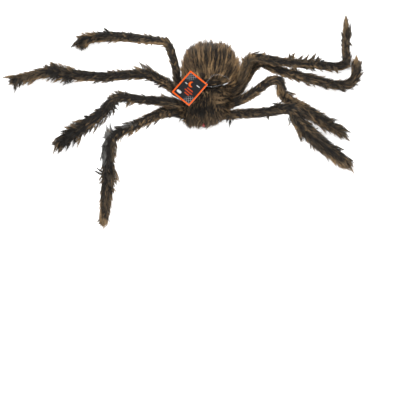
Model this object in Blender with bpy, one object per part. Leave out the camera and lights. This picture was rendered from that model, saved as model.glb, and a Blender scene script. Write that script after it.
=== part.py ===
"""A posable soft toy spider in brown faux fur, with a card hang tag.

The body is two stuffed bags, an abdomen and a head, that meet at a seam. Eight wire-cored
fur sleeves come out of the head: they rise to a knee and come down to the floor. The fur is
modelled as rows of pointed locks that lie along the pile. Two red beads are the eyes, and a
printed card hangs on a clear loop and lies over the left side of the seam.

Lengths below are in millimetres, and become metres when a mesh is made. +X is the toy's
right-hand side as it is seen from the front and above, +Y is the rear and +Z is up. The
origin is on the floor under the middle of the abdomen.
"""
import bisect
import math
import random

import bmesh
import bpy
from mathutils import Matrix, Vector

MM = 0.001
GAP = 0.3
SMOOTH_ANGLE = math.radians(60)

# The bags: each section is (centre x, y, centre z, half width, half height)
SEAM_Y = -45.0
ABDOMEN_SECTIONS = (
    (-3, -44, 49, 49, 48),
    (-2, -30, 51, 59, 55),
    (0, -8, 52, 65, 60),
    (0, 18, 53, 67, 60),
    (0, 42, 55, 63, 52),
    (0, 60, 56, 53, 38),
    (0, 69, 55, 32, 22),
    (0, 71, 55, 10, 7),
)
HEAD_SECTIONS = (
    (-3, -46, 47, 49, 46),
    (-4, -58, 46, 55, 48),
    (-9, -80, 44, 52, 47),
    (-14, -101, 42, 48, 41),
    (-20, -116, 40, 37, 29),
    (-26, -125, 38, 21, 15),
    (-27, -128, 38, 6, 5),
)
BAG_SIDES = 18
BAG_SQUARENESS = 2.4
ABDOMEN_PITCH = 12.0
HEAD_PITCH = 11.0
BAG_TUFT = 2.0
ABDOMEN_SEED = 5
HEAD_SEED = 6
ON_SEAM = 0.01

# The legs: each point is (x, y, z, half width out to the tips of the fur)
LEG_ROUTES = {
    "leg_left_1": (
        (-44, -36, 50, 8.5), (-60, -34, 51, 8.5), (-73, -20, 57, 8.5), (-76, -2, 71, 9),
        (-82, 16, 97, 9), (-91, 38, 124, 9.5), (-107, 47, 127, 9.5), (-146, 66, 92, 10.5),
        (-207, 92, 46, 11.5), (-254, 101, 19, 12.5), (-284, 99, 13, 13), (-297, 73, 12, 12),
    ),
    "leg_left_2": (
        (-45, -62, 36, 8.5), (-65, -50, 40, 8.5), (-94, -31, 62, 11), (-119, -27, 86, 11.5),
        (-142, -21, 101, 12), (-180, -20, 94, 11.5), (-241, -14, 62, 11), (-302, 3, 32, 12),
        (-353, 18, 20, 14.5), (-382, 14, 15, 11), (-423, 3, 12, 11.5), (-457, -3, 11, 11),
    ),
    "leg_left_3": (
        (-50, -81, 47, 8.5), (-68, -75, 52, 9), (-101, -79, 78, 9.5), (-158, -91, 118, 9.5),
        (-194, -92, 137, 10), (-216, -94, 130, 11), (-238, -111, 96, 13), (-272, -123, 62, 15),
        (-313, -138, 28, 15.5), (-351, -169, 14, 14),
    ),
    "leg_left_4": (
        (-45, -96, 32, 8.5), (-63, -88, 31, 8.5), (-91, -87, 45, 10), (-124, -114, 78, 10),
        (-166, -149, 110, 11), (-207, -174, 125, 11), (-226, -191, 113, 12), (-229, -223, 84, 13),
        (-229, -265, 54, 15), (-236, -311, 24, 11), (-241, -359, 10, 10),
    ),
    "leg_right_1": (
        (33, -52, 57, 8.5), (46, -45, 53, 8.5), (60, -34, 50, 8), (69, -18, 58, 8.5),
        (77, 1, 76, 9), (84, 15, 93, 9.5), (102, 20, 99, 9), (140, 16, 88, 10), (191, 21, 58, 10.5),
        (243, 30, 28, 10), (284, 30, 13, 11), (307, 37, 11, 10), (305, 73, 11, 10),
        (307, 112, 11, 9.5), (305, 154, 9, 8.5),
    ),
    "leg_right_2": (
        (34, -62, 29, 8.5), (60, -48, 28, 8), (81, -12, 43, 8), (96, 9, 59, 8.5),
        (114, 18, 69, 9), (135, 9, 66, 9.5), (180, -1, 50, 11.5), (236, -7, 26, 11.5),
        (286, -15, 13, 11), (315, -11, 12, 11), (331, 14, 12, 12.5), (330, 54, 10, 10),
    ),
    "leg_right_3": (
        (32, -76, 44, 8.5), (50, -71, 47, 9), (81, -70, 76, 10.5), (117, -59, 116, 10.5),
        (139, -49, 137, 11), (156, -52, 134, 11), (160, -67, 104, 11.5), (178, -78, 76, 13),
        (212, -87, 52, 15), (266, -111, 24, 15), (310, -140, 12, 13),
    ),
    "leg_right_4": (
        (24, -94, 36, 8.5), (45, -96, 40, 9), (79, -102, 62, 10.5), (117, -111, 88, 11),
        (158, -110, 107, 13), (183, -107, 105, 14), (197, -129, 82, 16.5), (224, -151, 56, 18),
        (270, -178, 27, 16.5), (317, -214, 13, 14),
    ),
}
LEG_SIDES = 8
LEG_PITCH = 21.0
BARE_ROOT = 34.0
TIP_TUFT = 7.0
FIRST_LEG_SEED = 11

# The sockets that the legs' roots sit in: fatter tubes cut out of the bags
SOCKET_START = -0.6
SOCKET_LENGTH = 95.0
SOCKET_CLEARANCE = 1.8
SOCKET_PITCH = 8.0

# The locks: widths are shares of the section's half width, places are shares of the pitch
LEG_LOCKS = {"root": 0.86, "valley": 0.90, "tip": 1.05, "spread": 0.06}
BAG_LOCKS = {"root": 0.945, "valley": 0.955, "tip": 1.005, "spread": 0.02}
LOCK_TIP_AT = 0.96
LAST_TIP_AT = 0.80
LOCK_VALLEY_AT = 0.58
BEND_SPLAY = 0.30
END_RING = 0.55
STEPS_PER_POINT = 10

# The eyes: beads that sit in seats in the head's fur
EYE_RADIUS = 3.4
EYE_SEAT_CLEARANCE = 0.35
EYES = {
    "eye_left": (-44.5, -124.0, 43.0),
    "eye_right": (-14.5, -125.3, 46.5),
}
EYE_SEGMENTS = 12
EYE_RINGS = 8

# The hang tag: a card with rounded corners and a hole near the corner over the seam
CARD_WIDTH = 52.7
CARD_LENGTH = 65.1
CARD_THICKNESS = 0.8
CARD_CORNER = 1.6
CARD_CORNER_STEPS = 3
CARD_CENTRE = (-45.4, -54.5, 96.6)
CARD_TURN = math.radians(-41.3)
CARD_TILT_SIDE = math.radians(-8.0)
CARD_TILT_REAR = math.radians(6.0)
CARD_HOLE_RADIUS = 1.7
CARD_HOLE_INSET = 4.2
CARD_HOLE_SIDES = 16
PUNCH_DEPTH = 6.0

# The clear loop: a ring of nylon with a locking bead, threaded square through the card's hole
LOOP_RADIUS = 0.6
LOOP_SIDES = 8
LOOP_STEPS = 4
LOOP_BEAD = 1.3
LOOP_BEAD_LENGTH = 11.0
LOOP_BEAD_AT = Vector((35.0, -42.0, 91.5))
LOOP_CHANNEL = 0.5
LOOP_THREAD = 4.0
LOOP_ROUTE = (
    (-3, -39, 112), (7, -28, 112), (23, -26, 107), (39, -28, 99), (46, -33, 87),
    (40, -39, 88), (26, -46, 96), (10, -51, 98), (-2, -51, 96),
)

# The finishes
FUR_COLOURS = {"abdomen": (0.085, 0.062, 0.042), "head": (0.05, 0.038, 0.028)}
LEG_COLOUR = (0.062, 0.047, 0.034)
FUR_ROUGHNESS = 0.85
EYE_COLOUR = (0.55, 0.05, 0.04)
EYE_ROUGHNESS = 0.2
CARD_COLOUR = (0.9, 0.13, 0.01)
CARD_ROUGHNESS = 0.45
LOOP_COLOUR = (0.82, 0.84, 0.86)
LOOP_ROUGHNESS = 0.15


def clear_scene():
    """Remove every object that the file opened with."""
    for thing in list(bpy.data.objects):
        bpy.data.objects.remove(thing, do_unlink=True)


def material(name, colour, roughness):
    """Make a Principled material with one plain finish, which is never metal here."""
    made = bpy.data.materials.new(name)
    made.use_nodes = True
    shader = made.node_tree.nodes["Principled BSDF"]
    shader.inputs["Base Color"].default_value = (*colour, 1.0)
    shader.inputs["Roughness"].default_value = roughness
    shader.inputs["Metallic"].default_value = 0.0
    return made


def new_object(name, mesh_data, finish=None, round_piece=False):
    """Put a bmesh in the scene as a named object, in metres."""
    bmesh.ops.scale(mesh_data, vec=(MM, MM, MM), verts=mesh_data.verts)
    bmesh.ops.recalc_face_normals(mesh_data, faces=mesh_data.faces)
    mesh = bpy.data.meshes.new(name)
    mesh_data.to_mesh(mesh)
    mesh_data.free()
    if round_piece:
        mesh.shade_smooth()
        mesh.set_sharp_from_angle(angle=SMOOTH_ANGLE)
    if finish:
        mesh.materials.append(finish)
    made = bpy.data.objects.new(name, mesh)
    bpy.context.scene.collection.objects.link(made)
    return made


def as_cutter(thing):
    """Mark an object as a cutter, which is no part of the toy."""
    thing.hide_render = True
    thing.display_type = "WIRE"
    return thing


def cut(thing, cutters):
    """Take each cutter's shape out of an object."""
    for cutter in cutters:
        boolean = thing.modifiers.new("cut_" + cutter.name, "BOOLEAN")
        boolean.operation = "DIFFERENCE"
        boolean.solver = "EXACT"
        boolean.object = cutter


def mix(a, b, share):
    """Blend two rows of numbers."""
    return tuple(p + (q - p) * share for p, q in zip(a, b))


def smooth_curve(points):
    """Round a route of control points into a quadratic spline, as a list of rows."""
    middles = [mix(a, b, 0.5) for a, b in zip(points, points[1:])]
    curve = [tuple(points[0])]
    for before, corner, after in zip(middles, points[1:-1], middles[1:]):
        for step in range(STEPS_PER_POINT):
            share = step / STEPS_PER_POINT
            curve.append(mix(mix(before, corner, share), mix(corner, after, share), share))
    curve.append(middles[-1])
    curve.append(tuple(points[-1]))
    return curve


class Sleeve:
    """A tube of changing section along a smooth route.

    A route's rows start with x, y and z. The fourth number is the section's half width, and
    the last one its half height, which may be the same number.
    """

    def __init__(self, points, upright=False, squareness=2.0):
        """Measure the route, and carry a pair of section axes along it without twist."""
        self.rows = smooth_curve(points)
        self.squareness = squareness
        places = [Vector(row[:3]) for row in self.rows]
        self.marks = [0.0]
        for a, b in zip(places, places[1:]):
            self.marks.append(self.marks[-1] + (b - a).length)
        self.length = self.marks[-1]
        self.axes = []
        self.bends = []
        up = Vector((0.0, 0.0, 1.0))
        for index in range(len(places)):
            if upright:
                self.axes.append((Vector((1.0, 0.0, 0.0)), up))
                self.bends.append(Vector())
                continue
            ahead = places[min(index + 1, len(places) - 1)]
            behind = places[max(index - 1, 0)]
            along = (ahead - behind).normalized()
            up = (up - along * up.dot(along)).normalized()
            self.axes.append((along.cross(up), up.copy()))
            if 0 < index < len(places) - 1:
                outward = places[index] - (ahead + behind) / 2.0
                half_step = (ahead - behind).length / 2.0
                self.bends.append(outward * 2.0 / half_step ** 2)
            else:
                self.bends.append(Vector())

    def point(self, mark, angle, width):
        """Give the point at a distance along the route, at an angle round its section."""
        index = min(max(bisect.bisect_right(self.marks, mark) - 1, 0), len(self.marks) - 2)
        span = self.marks[index + 1] - self.marks[index]
        share = (mark - self.marks[index]) / span
        row = mix(self.rows[index], self.rows[index + 1], share)
        side = self.axes[index][0].lerp(self.axes[index + 1][0], share)
        up = self.axes[index][1].lerp(self.axes[index + 1][1], share)
        power = 2.0 / self.squareness
        across = math.copysign(abs(math.cos(angle)) ** power, math.cos(angle))
        rise = math.copysign(abs(math.sin(angle)) ** power, math.sin(angle))
        out = side * across * row[3] + up * rise * row[-1]
        if width > 1.0:
            bend = self.bends[index].lerp(self.bends[index + 1], share)
            width *= 1.0 + BEND_SPLAY * max(0.0, min(1.0, bend.dot(out)))
        return Vector(row[:3]) + out * width


def bridge(mesh_data, ring, following):
    """Join two rings of corners with quads."""
    count = len(ring)
    for k in range(count):
        after = (k + 1) % count
        mesh_data.faces.new((ring[k], ring[after], following[after], following[k]))


def above_floor(point):
    """Press a point that would sink into the floor flat on it."""
    return Vector((point.x, point.y, max(point.z, 0.0)))


def furry_shell(sleeve, sides, pitch, locks, bare, tuft, seed):
    """Loft a sleeve whose skin is rows of pointed locks, each row set half a step round."""
    chance = random.Random(seed)
    mesh_data = bmesh.new()
    angles = [2.0 * math.pi * (k + 0.5) / sides for k in range(sides)]
    rows = [[(0.0, 1.0)] * sides]
    if bare:
        rows.append([(bare * 0.5, 1.0)] * sides)
    bands = max(1, round((sleeve.length - bare) / pitch))
    step = (sleeve.length - bare) / bands
    for band in range(bands):
        start = bare + band * step
        if band or bare:
            rows.append([(start, locks["root"])] * sides)
        reach = LAST_TIP_AT if band == bands - 1 else LOCK_TIP_AT
        ring = []
        for k in range(sides):
            if (k + band) % 2:
                ring.append((start + step * LOCK_VALLEY_AT, locks["valley"]))
            else:
                spread = chance.uniform(-locks["spread"], locks["spread"])
                ring.append((start + step * reach, locks["tip"] + spread))
        rows.append(ring)
    rows.append([(sleeve.length, END_RING)] * sides)
    rings = []
    for row in rows:
        corners = [sleeve.point(mark, angle, width) for (mark, width), angle in zip(row, angles)]
        rings.append([mesh_data.verts.new(above_floor(corner)) for corner in corners])
    for ring, following in zip(rings, rings[1:]):
        bridge(mesh_data, ring, following)
    mesh_data.faces.new(reversed(rings[0]))
    last = Vector(sleeve.rows[-1][:3])
    onward = (last - Vector(sleeve.rows[-3][:3])).normalized()
    apex = mesh_data.verts.new(above_floor(last + onward * tuft))
    for k in range(sides):
        mesh_data.faces.new((rings[-1][k], rings[-1][(k + 1) % sides], apex))
    return mesh_data


def plain_tube(sleeve, sides, start, end, extra, pitch):
    """Loft a plain tube a little fatter than a sleeve's fur, as a cutter."""
    mesh_data = bmesh.new()
    count = max(2, round((end - start) / pitch))
    rings = []
    for index in range(count + 1):
        mark = start + (end - start) * index / count
        corners = []
        for k in range(sides):
            angle = 2.0 * math.pi * (k + 0.5) / sides
            on_fur = sleeve.point(mark, angle, 1.0)
            centre = (on_fur + sleeve.point(mark, angle + math.pi, 1.0)) / 2.0
            out = (on_fur - centre).normalized()
            corners.append(on_fur + out * extra)
        rings.append([mesh_data.verts.new(corner) for corner in corners])
    for ring, following in zip(rings, rings[1:]):
        bridge(mesh_data, ring, following)
    mesh_data.faces.new(reversed(rings[0]))
    mesh_data.faces.new(rings[-1])
    return mesh_data


def make_legs():
    """Make the eight legs, and a cutter for the socket of each."""
    sockets = {}
    for seed, (name, route) in enumerate(LEG_ROUTES.items(), start=FIRST_LEG_SEED):
        sleeve = Sleeve(route)
        shell = furry_shell(sleeve, LEG_SIDES, LEG_PITCH, LEG_LOCKS, BARE_ROOT, TIP_TUFT, seed)
        new_object(name, shell, material(name + "_fur", LEG_COLOUR, FUR_ROUGHNESS))
        hole = plain_tube(sleeve, LEG_SIDES, SOCKET_START, SOCKET_LENGTH, SOCKET_CLEARANCE, SOCKET_PITCH)
        sockets[name] = as_cutter(new_object("socket_" + name, hole))
    return sockets


def make_bag(name, sections, pitch, seam_y, seed):
    """Make one stuffed bag, with a flat face at the seam."""
    sleeve = Sleeve(sections, upright=True, squareness=BAG_SQUARENESS)
    shell = furry_shell(sleeve, BAG_SIDES, pitch, BAG_LOCKS, 0.0, BAG_TUFT, seed)
    for corner in shell.verts:
        if abs(corner.co.y - sections[0][1]) < ON_SEAM:
            corner.co.y = seam_y
    return new_object(name, shell, material(name + "_fur", FUR_COLOURS[name], FUR_ROUGHNESS))


def ball(radius, centre):
    """Make a round ball at a place."""
    made = bmesh.new()
    bmesh.ops.create_uvsphere(made, u_segments=EYE_SEGMENTS, v_segments=EYE_RINGS, radius=radius)
    bmesh.ops.translate(made, verts=made.verts, vec=centre)
    return made


def make_eye(name, centre):
    """Make one bead, and the cutter for its seat in the fur."""
    finish = material(name + "_plastic", EYE_COLOUR, EYE_ROUGHNESS)
    new_object(name, ball(EYE_RADIUS, centre), finish, round_piece=True)
    seat = ball(EYE_RADIUS + EYE_SEAT_CLEARANCE, centre)
    return as_cutter(new_object("seat_" + name, seat))


def card_place():
    """Give the turn and place of the card, from flat to lying on the fur."""
    turned = Matrix.Rotation(CARD_TURN, 4, "Z")
    tilted = Matrix.Rotation(CARD_TILT_REAR, 4, "X") @ Matrix.Rotation(CARD_TILT_SIDE, 4, "Y")
    return Matrix.Translation(CARD_CENTRE) @ tilted @ turned


def hole_place():
    """Give the place of the hole on the flat card."""
    inset = CARD_HOLE_INSET
    return Matrix.Translation((CARD_WIDTH / 2.0 - inset, CARD_LENGTH / 2.0 - inset, 0.0))


def make_card():
    """Make the card with rounded corners and its hole."""
    card = bmesh.new()
    bmesh.ops.create_cube(card, size=1.0)
    bmesh.ops.scale(card, vec=(CARD_WIDTH, CARD_LENGTH, CARD_THICKNESS), verts=card.verts)
    uprights = [e for e in card.edges if abs(e.verts[0].co.z - e.verts[1].co.z) > CARD_THICKNESS / 2.0]
    bmesh.ops.bevel(
        card, geom=uprights, offset=CARD_CORNER, segments=CARD_CORNER_STEPS, affect="EDGES", profile=0.5
    )
    bmesh.ops.transform(card, matrix=card_place(), verts=card.verts)
    made = new_object("tag_card", card, material("tag_card_print", CARD_COLOUR, CARD_ROUGHNESS))
    punch = bmesh.new()
    bmesh.ops.create_cone(
        punch, cap_ends=True, segments=CARD_HOLE_SIDES,
        radius1=CARD_HOLE_RADIUS, radius2=CARD_HOLE_RADIUS, depth=PUNCH_DEPTH,
    )
    bmesh.ops.transform(punch, matrix=card_place() @ hole_place(), verts=punch.verts)
    cut(made, [as_cutter(new_object("punch_tag_card", punch))])


def loop_ring(radius, bead):
    """Loft a closed ring through the card's hole and along the loop's route, with its bead."""
    hole = card_place() @ hole_place()
    below, above = (tuple(hole @ Vector((0.0, 0.0, z))) for z in (-LOOP_THREAD, LOOP_THREAD))
    route = (below, above) + LOOP_ROUTE
    curve = []
    for index, corner in enumerate(route):
        before = mix(route[index - 1], corner, 0.5)
        after = mix(corner, route[(index + 1) % len(route)], 0.5)
        for step in range(LOOP_STEPS):
            share = step / LOOP_STEPS
            curve.append(Vector(mix(mix(before, corner, share), mix(corner, after, share), share)))
    centre = sum(curve, Vector()) / len(curve)
    mesh_data = bmesh.new()
    rings = []
    for index, place in enumerate(curve):
        along = (curve[(index + 1) % len(curve)] - curve[index - 1]).normalized()
        out = (place - centre).normalized()
        out = (out - along * out.dot(along)).normalized()
        side = along.cross(out)
        swell = bead if (place - LOOP_BEAD_AT).length < LOOP_BEAD_LENGTH / 2.0 else radius
        corners = []
        for k in range(LOOP_SIDES):
            angle = 2.0 * math.pi * k / LOOP_SIDES
            corners.append(place + (out * math.cos(angle) + side * math.sin(angle)) * swell)
        rings.append([mesh_data.verts.new(corner) for corner in corners])
    for ring, following in zip(rings, rings[1:] + rings[:1]):
        bridge(mesh_data, ring, following)
    return mesh_data


def make_loop():
    """Make the clear loop, and the cutter for its way through the fur."""
    finish = material("tag_loop_nylon", LOOP_COLOUR, LOOP_ROUGHNESS)
    new_object("tag_loop", loop_ring(LOOP_RADIUS, LOOP_BEAD), finish, round_piece=True)
    way = loop_ring(LOOP_RADIUS + LOOP_CHANNEL, LOOP_BEAD + LOOP_CHANNEL)
    return as_cutter(new_object("way_tag_loop", way))


def main():
    """Build the whole toy."""
    clear_scene()
    sockets = make_legs()
    abdomen = make_bag("abdomen", ABDOMEN_SECTIONS, ABDOMEN_PITCH, SEAM_Y + GAP / 2.0, ABDOMEN_SEED)
    head = make_bag("head", HEAD_SECTIONS, HEAD_PITCH, SEAM_Y - GAP / 2.0, HEAD_SEED)
    make_card()
    loop_way = make_loop()
    seats = [make_eye(name, centre) for name, centre in EYES.items()]
    rear_sockets = [sockets["leg_left_1"], sockets["leg_right_1"], sockets["leg_right_2"]]
    cut(abdomen, rear_sockets + [loop_way])
    cut(head, list(sockets.values()) + seats + [loop_way])


main()
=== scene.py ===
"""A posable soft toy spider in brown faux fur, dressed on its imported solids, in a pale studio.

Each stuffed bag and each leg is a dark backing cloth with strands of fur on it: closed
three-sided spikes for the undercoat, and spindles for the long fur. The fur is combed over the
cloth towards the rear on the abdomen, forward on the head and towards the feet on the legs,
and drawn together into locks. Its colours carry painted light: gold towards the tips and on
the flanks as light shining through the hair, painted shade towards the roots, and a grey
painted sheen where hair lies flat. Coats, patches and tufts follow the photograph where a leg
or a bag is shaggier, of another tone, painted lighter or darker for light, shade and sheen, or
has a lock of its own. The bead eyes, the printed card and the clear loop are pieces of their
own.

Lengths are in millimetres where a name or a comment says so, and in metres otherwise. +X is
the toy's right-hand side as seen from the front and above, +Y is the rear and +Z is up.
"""
import math
from collections import namedtuple

import bpy
import numpy as np
from mathutils import Matrix, Vector
from mathutils.bvhtree import BVHTree


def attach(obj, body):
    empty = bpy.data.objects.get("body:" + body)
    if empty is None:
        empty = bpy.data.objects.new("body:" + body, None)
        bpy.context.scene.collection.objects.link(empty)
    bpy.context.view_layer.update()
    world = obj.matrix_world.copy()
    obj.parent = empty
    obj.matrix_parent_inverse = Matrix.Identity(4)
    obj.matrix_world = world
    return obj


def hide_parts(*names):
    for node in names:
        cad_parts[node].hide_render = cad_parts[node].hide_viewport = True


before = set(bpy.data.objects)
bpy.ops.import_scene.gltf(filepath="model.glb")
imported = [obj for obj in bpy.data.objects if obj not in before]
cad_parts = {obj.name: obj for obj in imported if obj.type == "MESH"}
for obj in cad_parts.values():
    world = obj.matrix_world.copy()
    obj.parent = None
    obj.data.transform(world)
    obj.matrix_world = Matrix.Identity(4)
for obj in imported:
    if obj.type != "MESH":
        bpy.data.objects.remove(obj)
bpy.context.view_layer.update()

MM = 0.001
BODY = "root"
UPRIGHT = (math.pi / 2.0, 0.0, 0.0)
CREASE = math.radians(40.0)
WHITE = (1.0, 1.0, 1.0)

# The photograph's view: a square frame of 400 pixels that looks down on the toy's front
FRAME_PIXELS = 400
PIXEL_MM = 2.25
VIEW_ELEVATION = math.radians(68.0)
TOWARDS_CAMERA = Vector((0.0, -math.cos(VIEW_ELEVATION), math.sin(VIEW_ELEVATION)))
ORIGIN_PIXEL = (210.0, 81.9)
AIM_HEIGHT_MM = 55.0
CAMERA_DISTANCE = 5.0

# The studio. Each lamp has its name, its place, the width of its square and its power
LAMPS = (("lamp_above", (-0.5, 0.5, 1.9), 1.6, 34.0), ("lamp_front", (0.9, -1.5, 1.3), 1.2, 12.0))
LAMP_AIM = Vector((0.0, -0.1, 0.0))
AIR_STRENGTH = 1.05
FLOOR_SIZE = 60.0
FLOOR_GLOW = 0.55

# The bags: each section is (centre x, y, centre z, half width, half height), in millimetres
SEAM_Y = -45.0
ABDOMEN_SECTIONS = (
    (-3, -44.5, 49, 49, 48), (-2, -30, 51, 59, 55), (0, -8, 52, 65, 60), (0, 18, 53, 67, 60),
    (0, 42, 55, 63, 52), (0, 60, 56, 53, 38), (0, 69, 55, 32, 22),
)
HEAD_SECTIONS = (
    (-3, -45.5, 47, 49, 46), (-4, -58, 46, 55, 48), (-9, -80, 44, 52, 47),
    (-14, -101, 42, 48, 41), (-20, -116, 40, 37, 29), (-26, -125, 38, 21, 15),
)
BAG_CLOTH_SHARE = 0.86
BAG_SIDES = 24

# A way that runs at a slant to every row of a bag's vertices, to sort them along
SORTING_WAY = (0.57, 0.73, 0.37)

# The legs: each point is (x, y, z, half width out to the tips of the fur), in millimetres
LEG_ROUTES = {
    "leg_left_1": (
        (-44, -36, 50, 8.5), (-60, -34, 51, 8.5), (-73, -20, 57, 8.5), (-76, -2, 71, 9), (-82, 16, 97, 9),
        (-91, 38, 124, 9.5), (-107, 47, 127, 9.5), (-146, 66, 92, 10.5), (-207, 92, 46, 11.5),
        (-254, 101, 19, 12.5), (-284, 99, 13, 13), (-297, 73, 12, 12),
    ),
    "leg_left_2": (
        (-45, -62, 36, 8.5), (-65, -50, 40, 8.5), (-94, -31, 62, 11), (-119, -27, 86, 11.5),
        (-142, -21, 101, 12), (-180, -20, 94, 11.5), (-241, -14, 62, 11), (-302, 3, 32, 12),
        (-353, 18, 20, 14.5), (-382, 14, 15, 11), (-423, 3, 12, 11.5), (-457, -3, 11, 11),
    ),
    "leg_left_3": (
        (-50, -81, 47, 8.5), (-68, -75, 52, 9), (-101, -79, 78, 9.5), (-158, -91, 118, 9.5),
        (-194, -92, 137, 10), (-216, -94, 130, 11), (-238, -111, 96, 13), (-272, -123, 62, 15),
        (-313, -138, 28, 15.5), (-351, -169, 14, 14),
    ),
    "leg_left_4": (
        (-45, -96, 32, 8.5), (-63, -88, 31, 8.5), (-91, -87, 45, 10), (-124, -114, 78, 10),
        (-166, -149, 110, 11), (-207, -174, 125, 11), (-226, -191, 113, 12), (-229, -223, 84, 13),
        (-229, -265, 54, 15), (-236, -311, 24, 11), (-241, -359, 10, 10),
    ),
    "leg_right_1": (
        (33, -52, 57, 8.5), (46, -45, 53, 8.5), (60, -34, 50, 8), (69, -18, 58, 8.5), (77, 1, 76, 9),
        (84, 15, 93, 9.5), (102, 20, 99, 9), (140, 16, 88, 10), (191, 21, 58, 10.5), (243, 30, 28, 10),
        (284, 30, 13, 11), (307, 37, 11, 10), (305, 73, 11, 10), (307, 112, 11, 9.5), (305, 154, 9, 8.5),
    ),
    "leg_right_2": (
        (34, -62, 29, 8.5), (60, -48, 28, 8), (81, -12, 43, 8), (96, 9, 59, 8.5), (114, 18, 69, 9),
        (135, 9, 66, 9.5), (180, -1, 50, 11.5), (236, -7, 26, 11.5), (286, -15, 13, 11), (315, -11, 12, 11),
        (331, 14, 12, 12.5), (330, 54, 10, 10),
    ),
    "leg_right_3": (
        (32, -76, 44, 8.5), (50, -71, 47, 9), (81, -70, 76, 10.5), (117, -59, 116, 10.5),
        (139, -49, 137, 11), (156, -52, 134, 11), (160, -67, 104, 11.5), (178, -78, 76, 13),
        (212, -87, 52, 15), (266, -111, 24, 15), (310, -140, 12, 13),
    ),
    "leg_right_4": (
        (24, -94, 36, 8.5), (45, -96, 40, 9), (79, -102, 62, 10.5), (117, -111, 88, 11),
        (158, -110, 107, 13), (183, -107, 105, 14), (197, -129, 82, 16.5), (224, -151, 56, 18),
        (270, -178, 27, 16.5), (317, -214, 13, 14),
    ),
}
LEG_CLOTH_SIDES = 3
FUR_PAST_FOOT = 17.0

# Each leg's coat: the share of the way to the foot, how shaggy it is there from 0 to 1, and
# its width against the route's
LEG_COATS = {
    "leg_left_1": ((0, 0.2, 1), (0.3, 0.15, 1), (0.78, 0.3, 1), (0.9, 0.5, 1), (1, 0.9, 1)),
    "leg_left_2": (
        (0, 0.3, 1), (0.22, 0.7, 1.05), (0.32, 0.2, 1), (0.6, 0.25, 1), (0.74, 0.9, 1.1), (0.84, 0.3, 1),
        (0.93, 0.5, 1.05), (1, 0.7, 1),
    ),
    "leg_left_3": (
        (0, 0.3, 1), (0.3, 0.3, 1.05), (0.43, 0.6, 1.1), (0.52, 0.3, 1), (0.62, 0.2, 0.97), (0.73, 0.4, 1),
        (0.8, 0.9, 1.02), (1, 0.8, 0.85),
    ),
    "leg_left_4": (
        (0, 0.4, 1.1), (0.3, 0.5, 1.05), (0.47, 0.8, 1.05), (0.54, 0.2, 1.1), (0.62, 0.1, 1.05),
        (0.7, 0.4, 1.05), (0.8, 0.3, 1.1), (1, 0.3, 1),
    ),
    "leg_right_1": (
        (0, 0.3, 0.97), (0.16, 0.4, 0.97), (0.28, 0.6, 1.04), (0.38, 0.2, 1), (0.45, 0.6, 1.03),
        (0.58, 0.6, 1.03), (0.64, 0.3, 1), (0.9, 0.4, 0.97), (0.96, 0.4, 0.75), (1, 0.3, 0.4),
    ),
    "leg_right_2": (
        (0, 0.3, 0.8), (0.1, 0.4, 0.85), (0.25, 0.4, 1), (0.6, 0.4, 1), (0.85, 0.6, 1), (1, 0.9, 0.95),
    ),
    "leg_right_3": ((0, 0.2, 0.95), (0.35, 0.2, 0.95), (0.55, 0.4, 0.97), (0.75, 0.5, 1), (1, 0.9, 0.75)),
    "leg_right_4": ((0, 0.4, 0.95), (0.35, 0.4, 0.95), (0.55, 0.7, 0.95), (0.68, 0.3, 1), (1, 0.2, 1)),
}

# The long fur where a leg leaves the body: how far down the leg it goes, in millimetres, and
# how much longer it is than the rest
PLAIN_RUFF = (60.0, 0.9)
RUFFS = {
    "leg_left_1": (30.0, 0.5), "leg_right_1": (105.0, 1.2), "leg_right_2": (95.0, 0.8),
    "leg_left_3": (70.0, 1.2), "leg_left_4": (75.0, 1.2),
}
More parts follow.
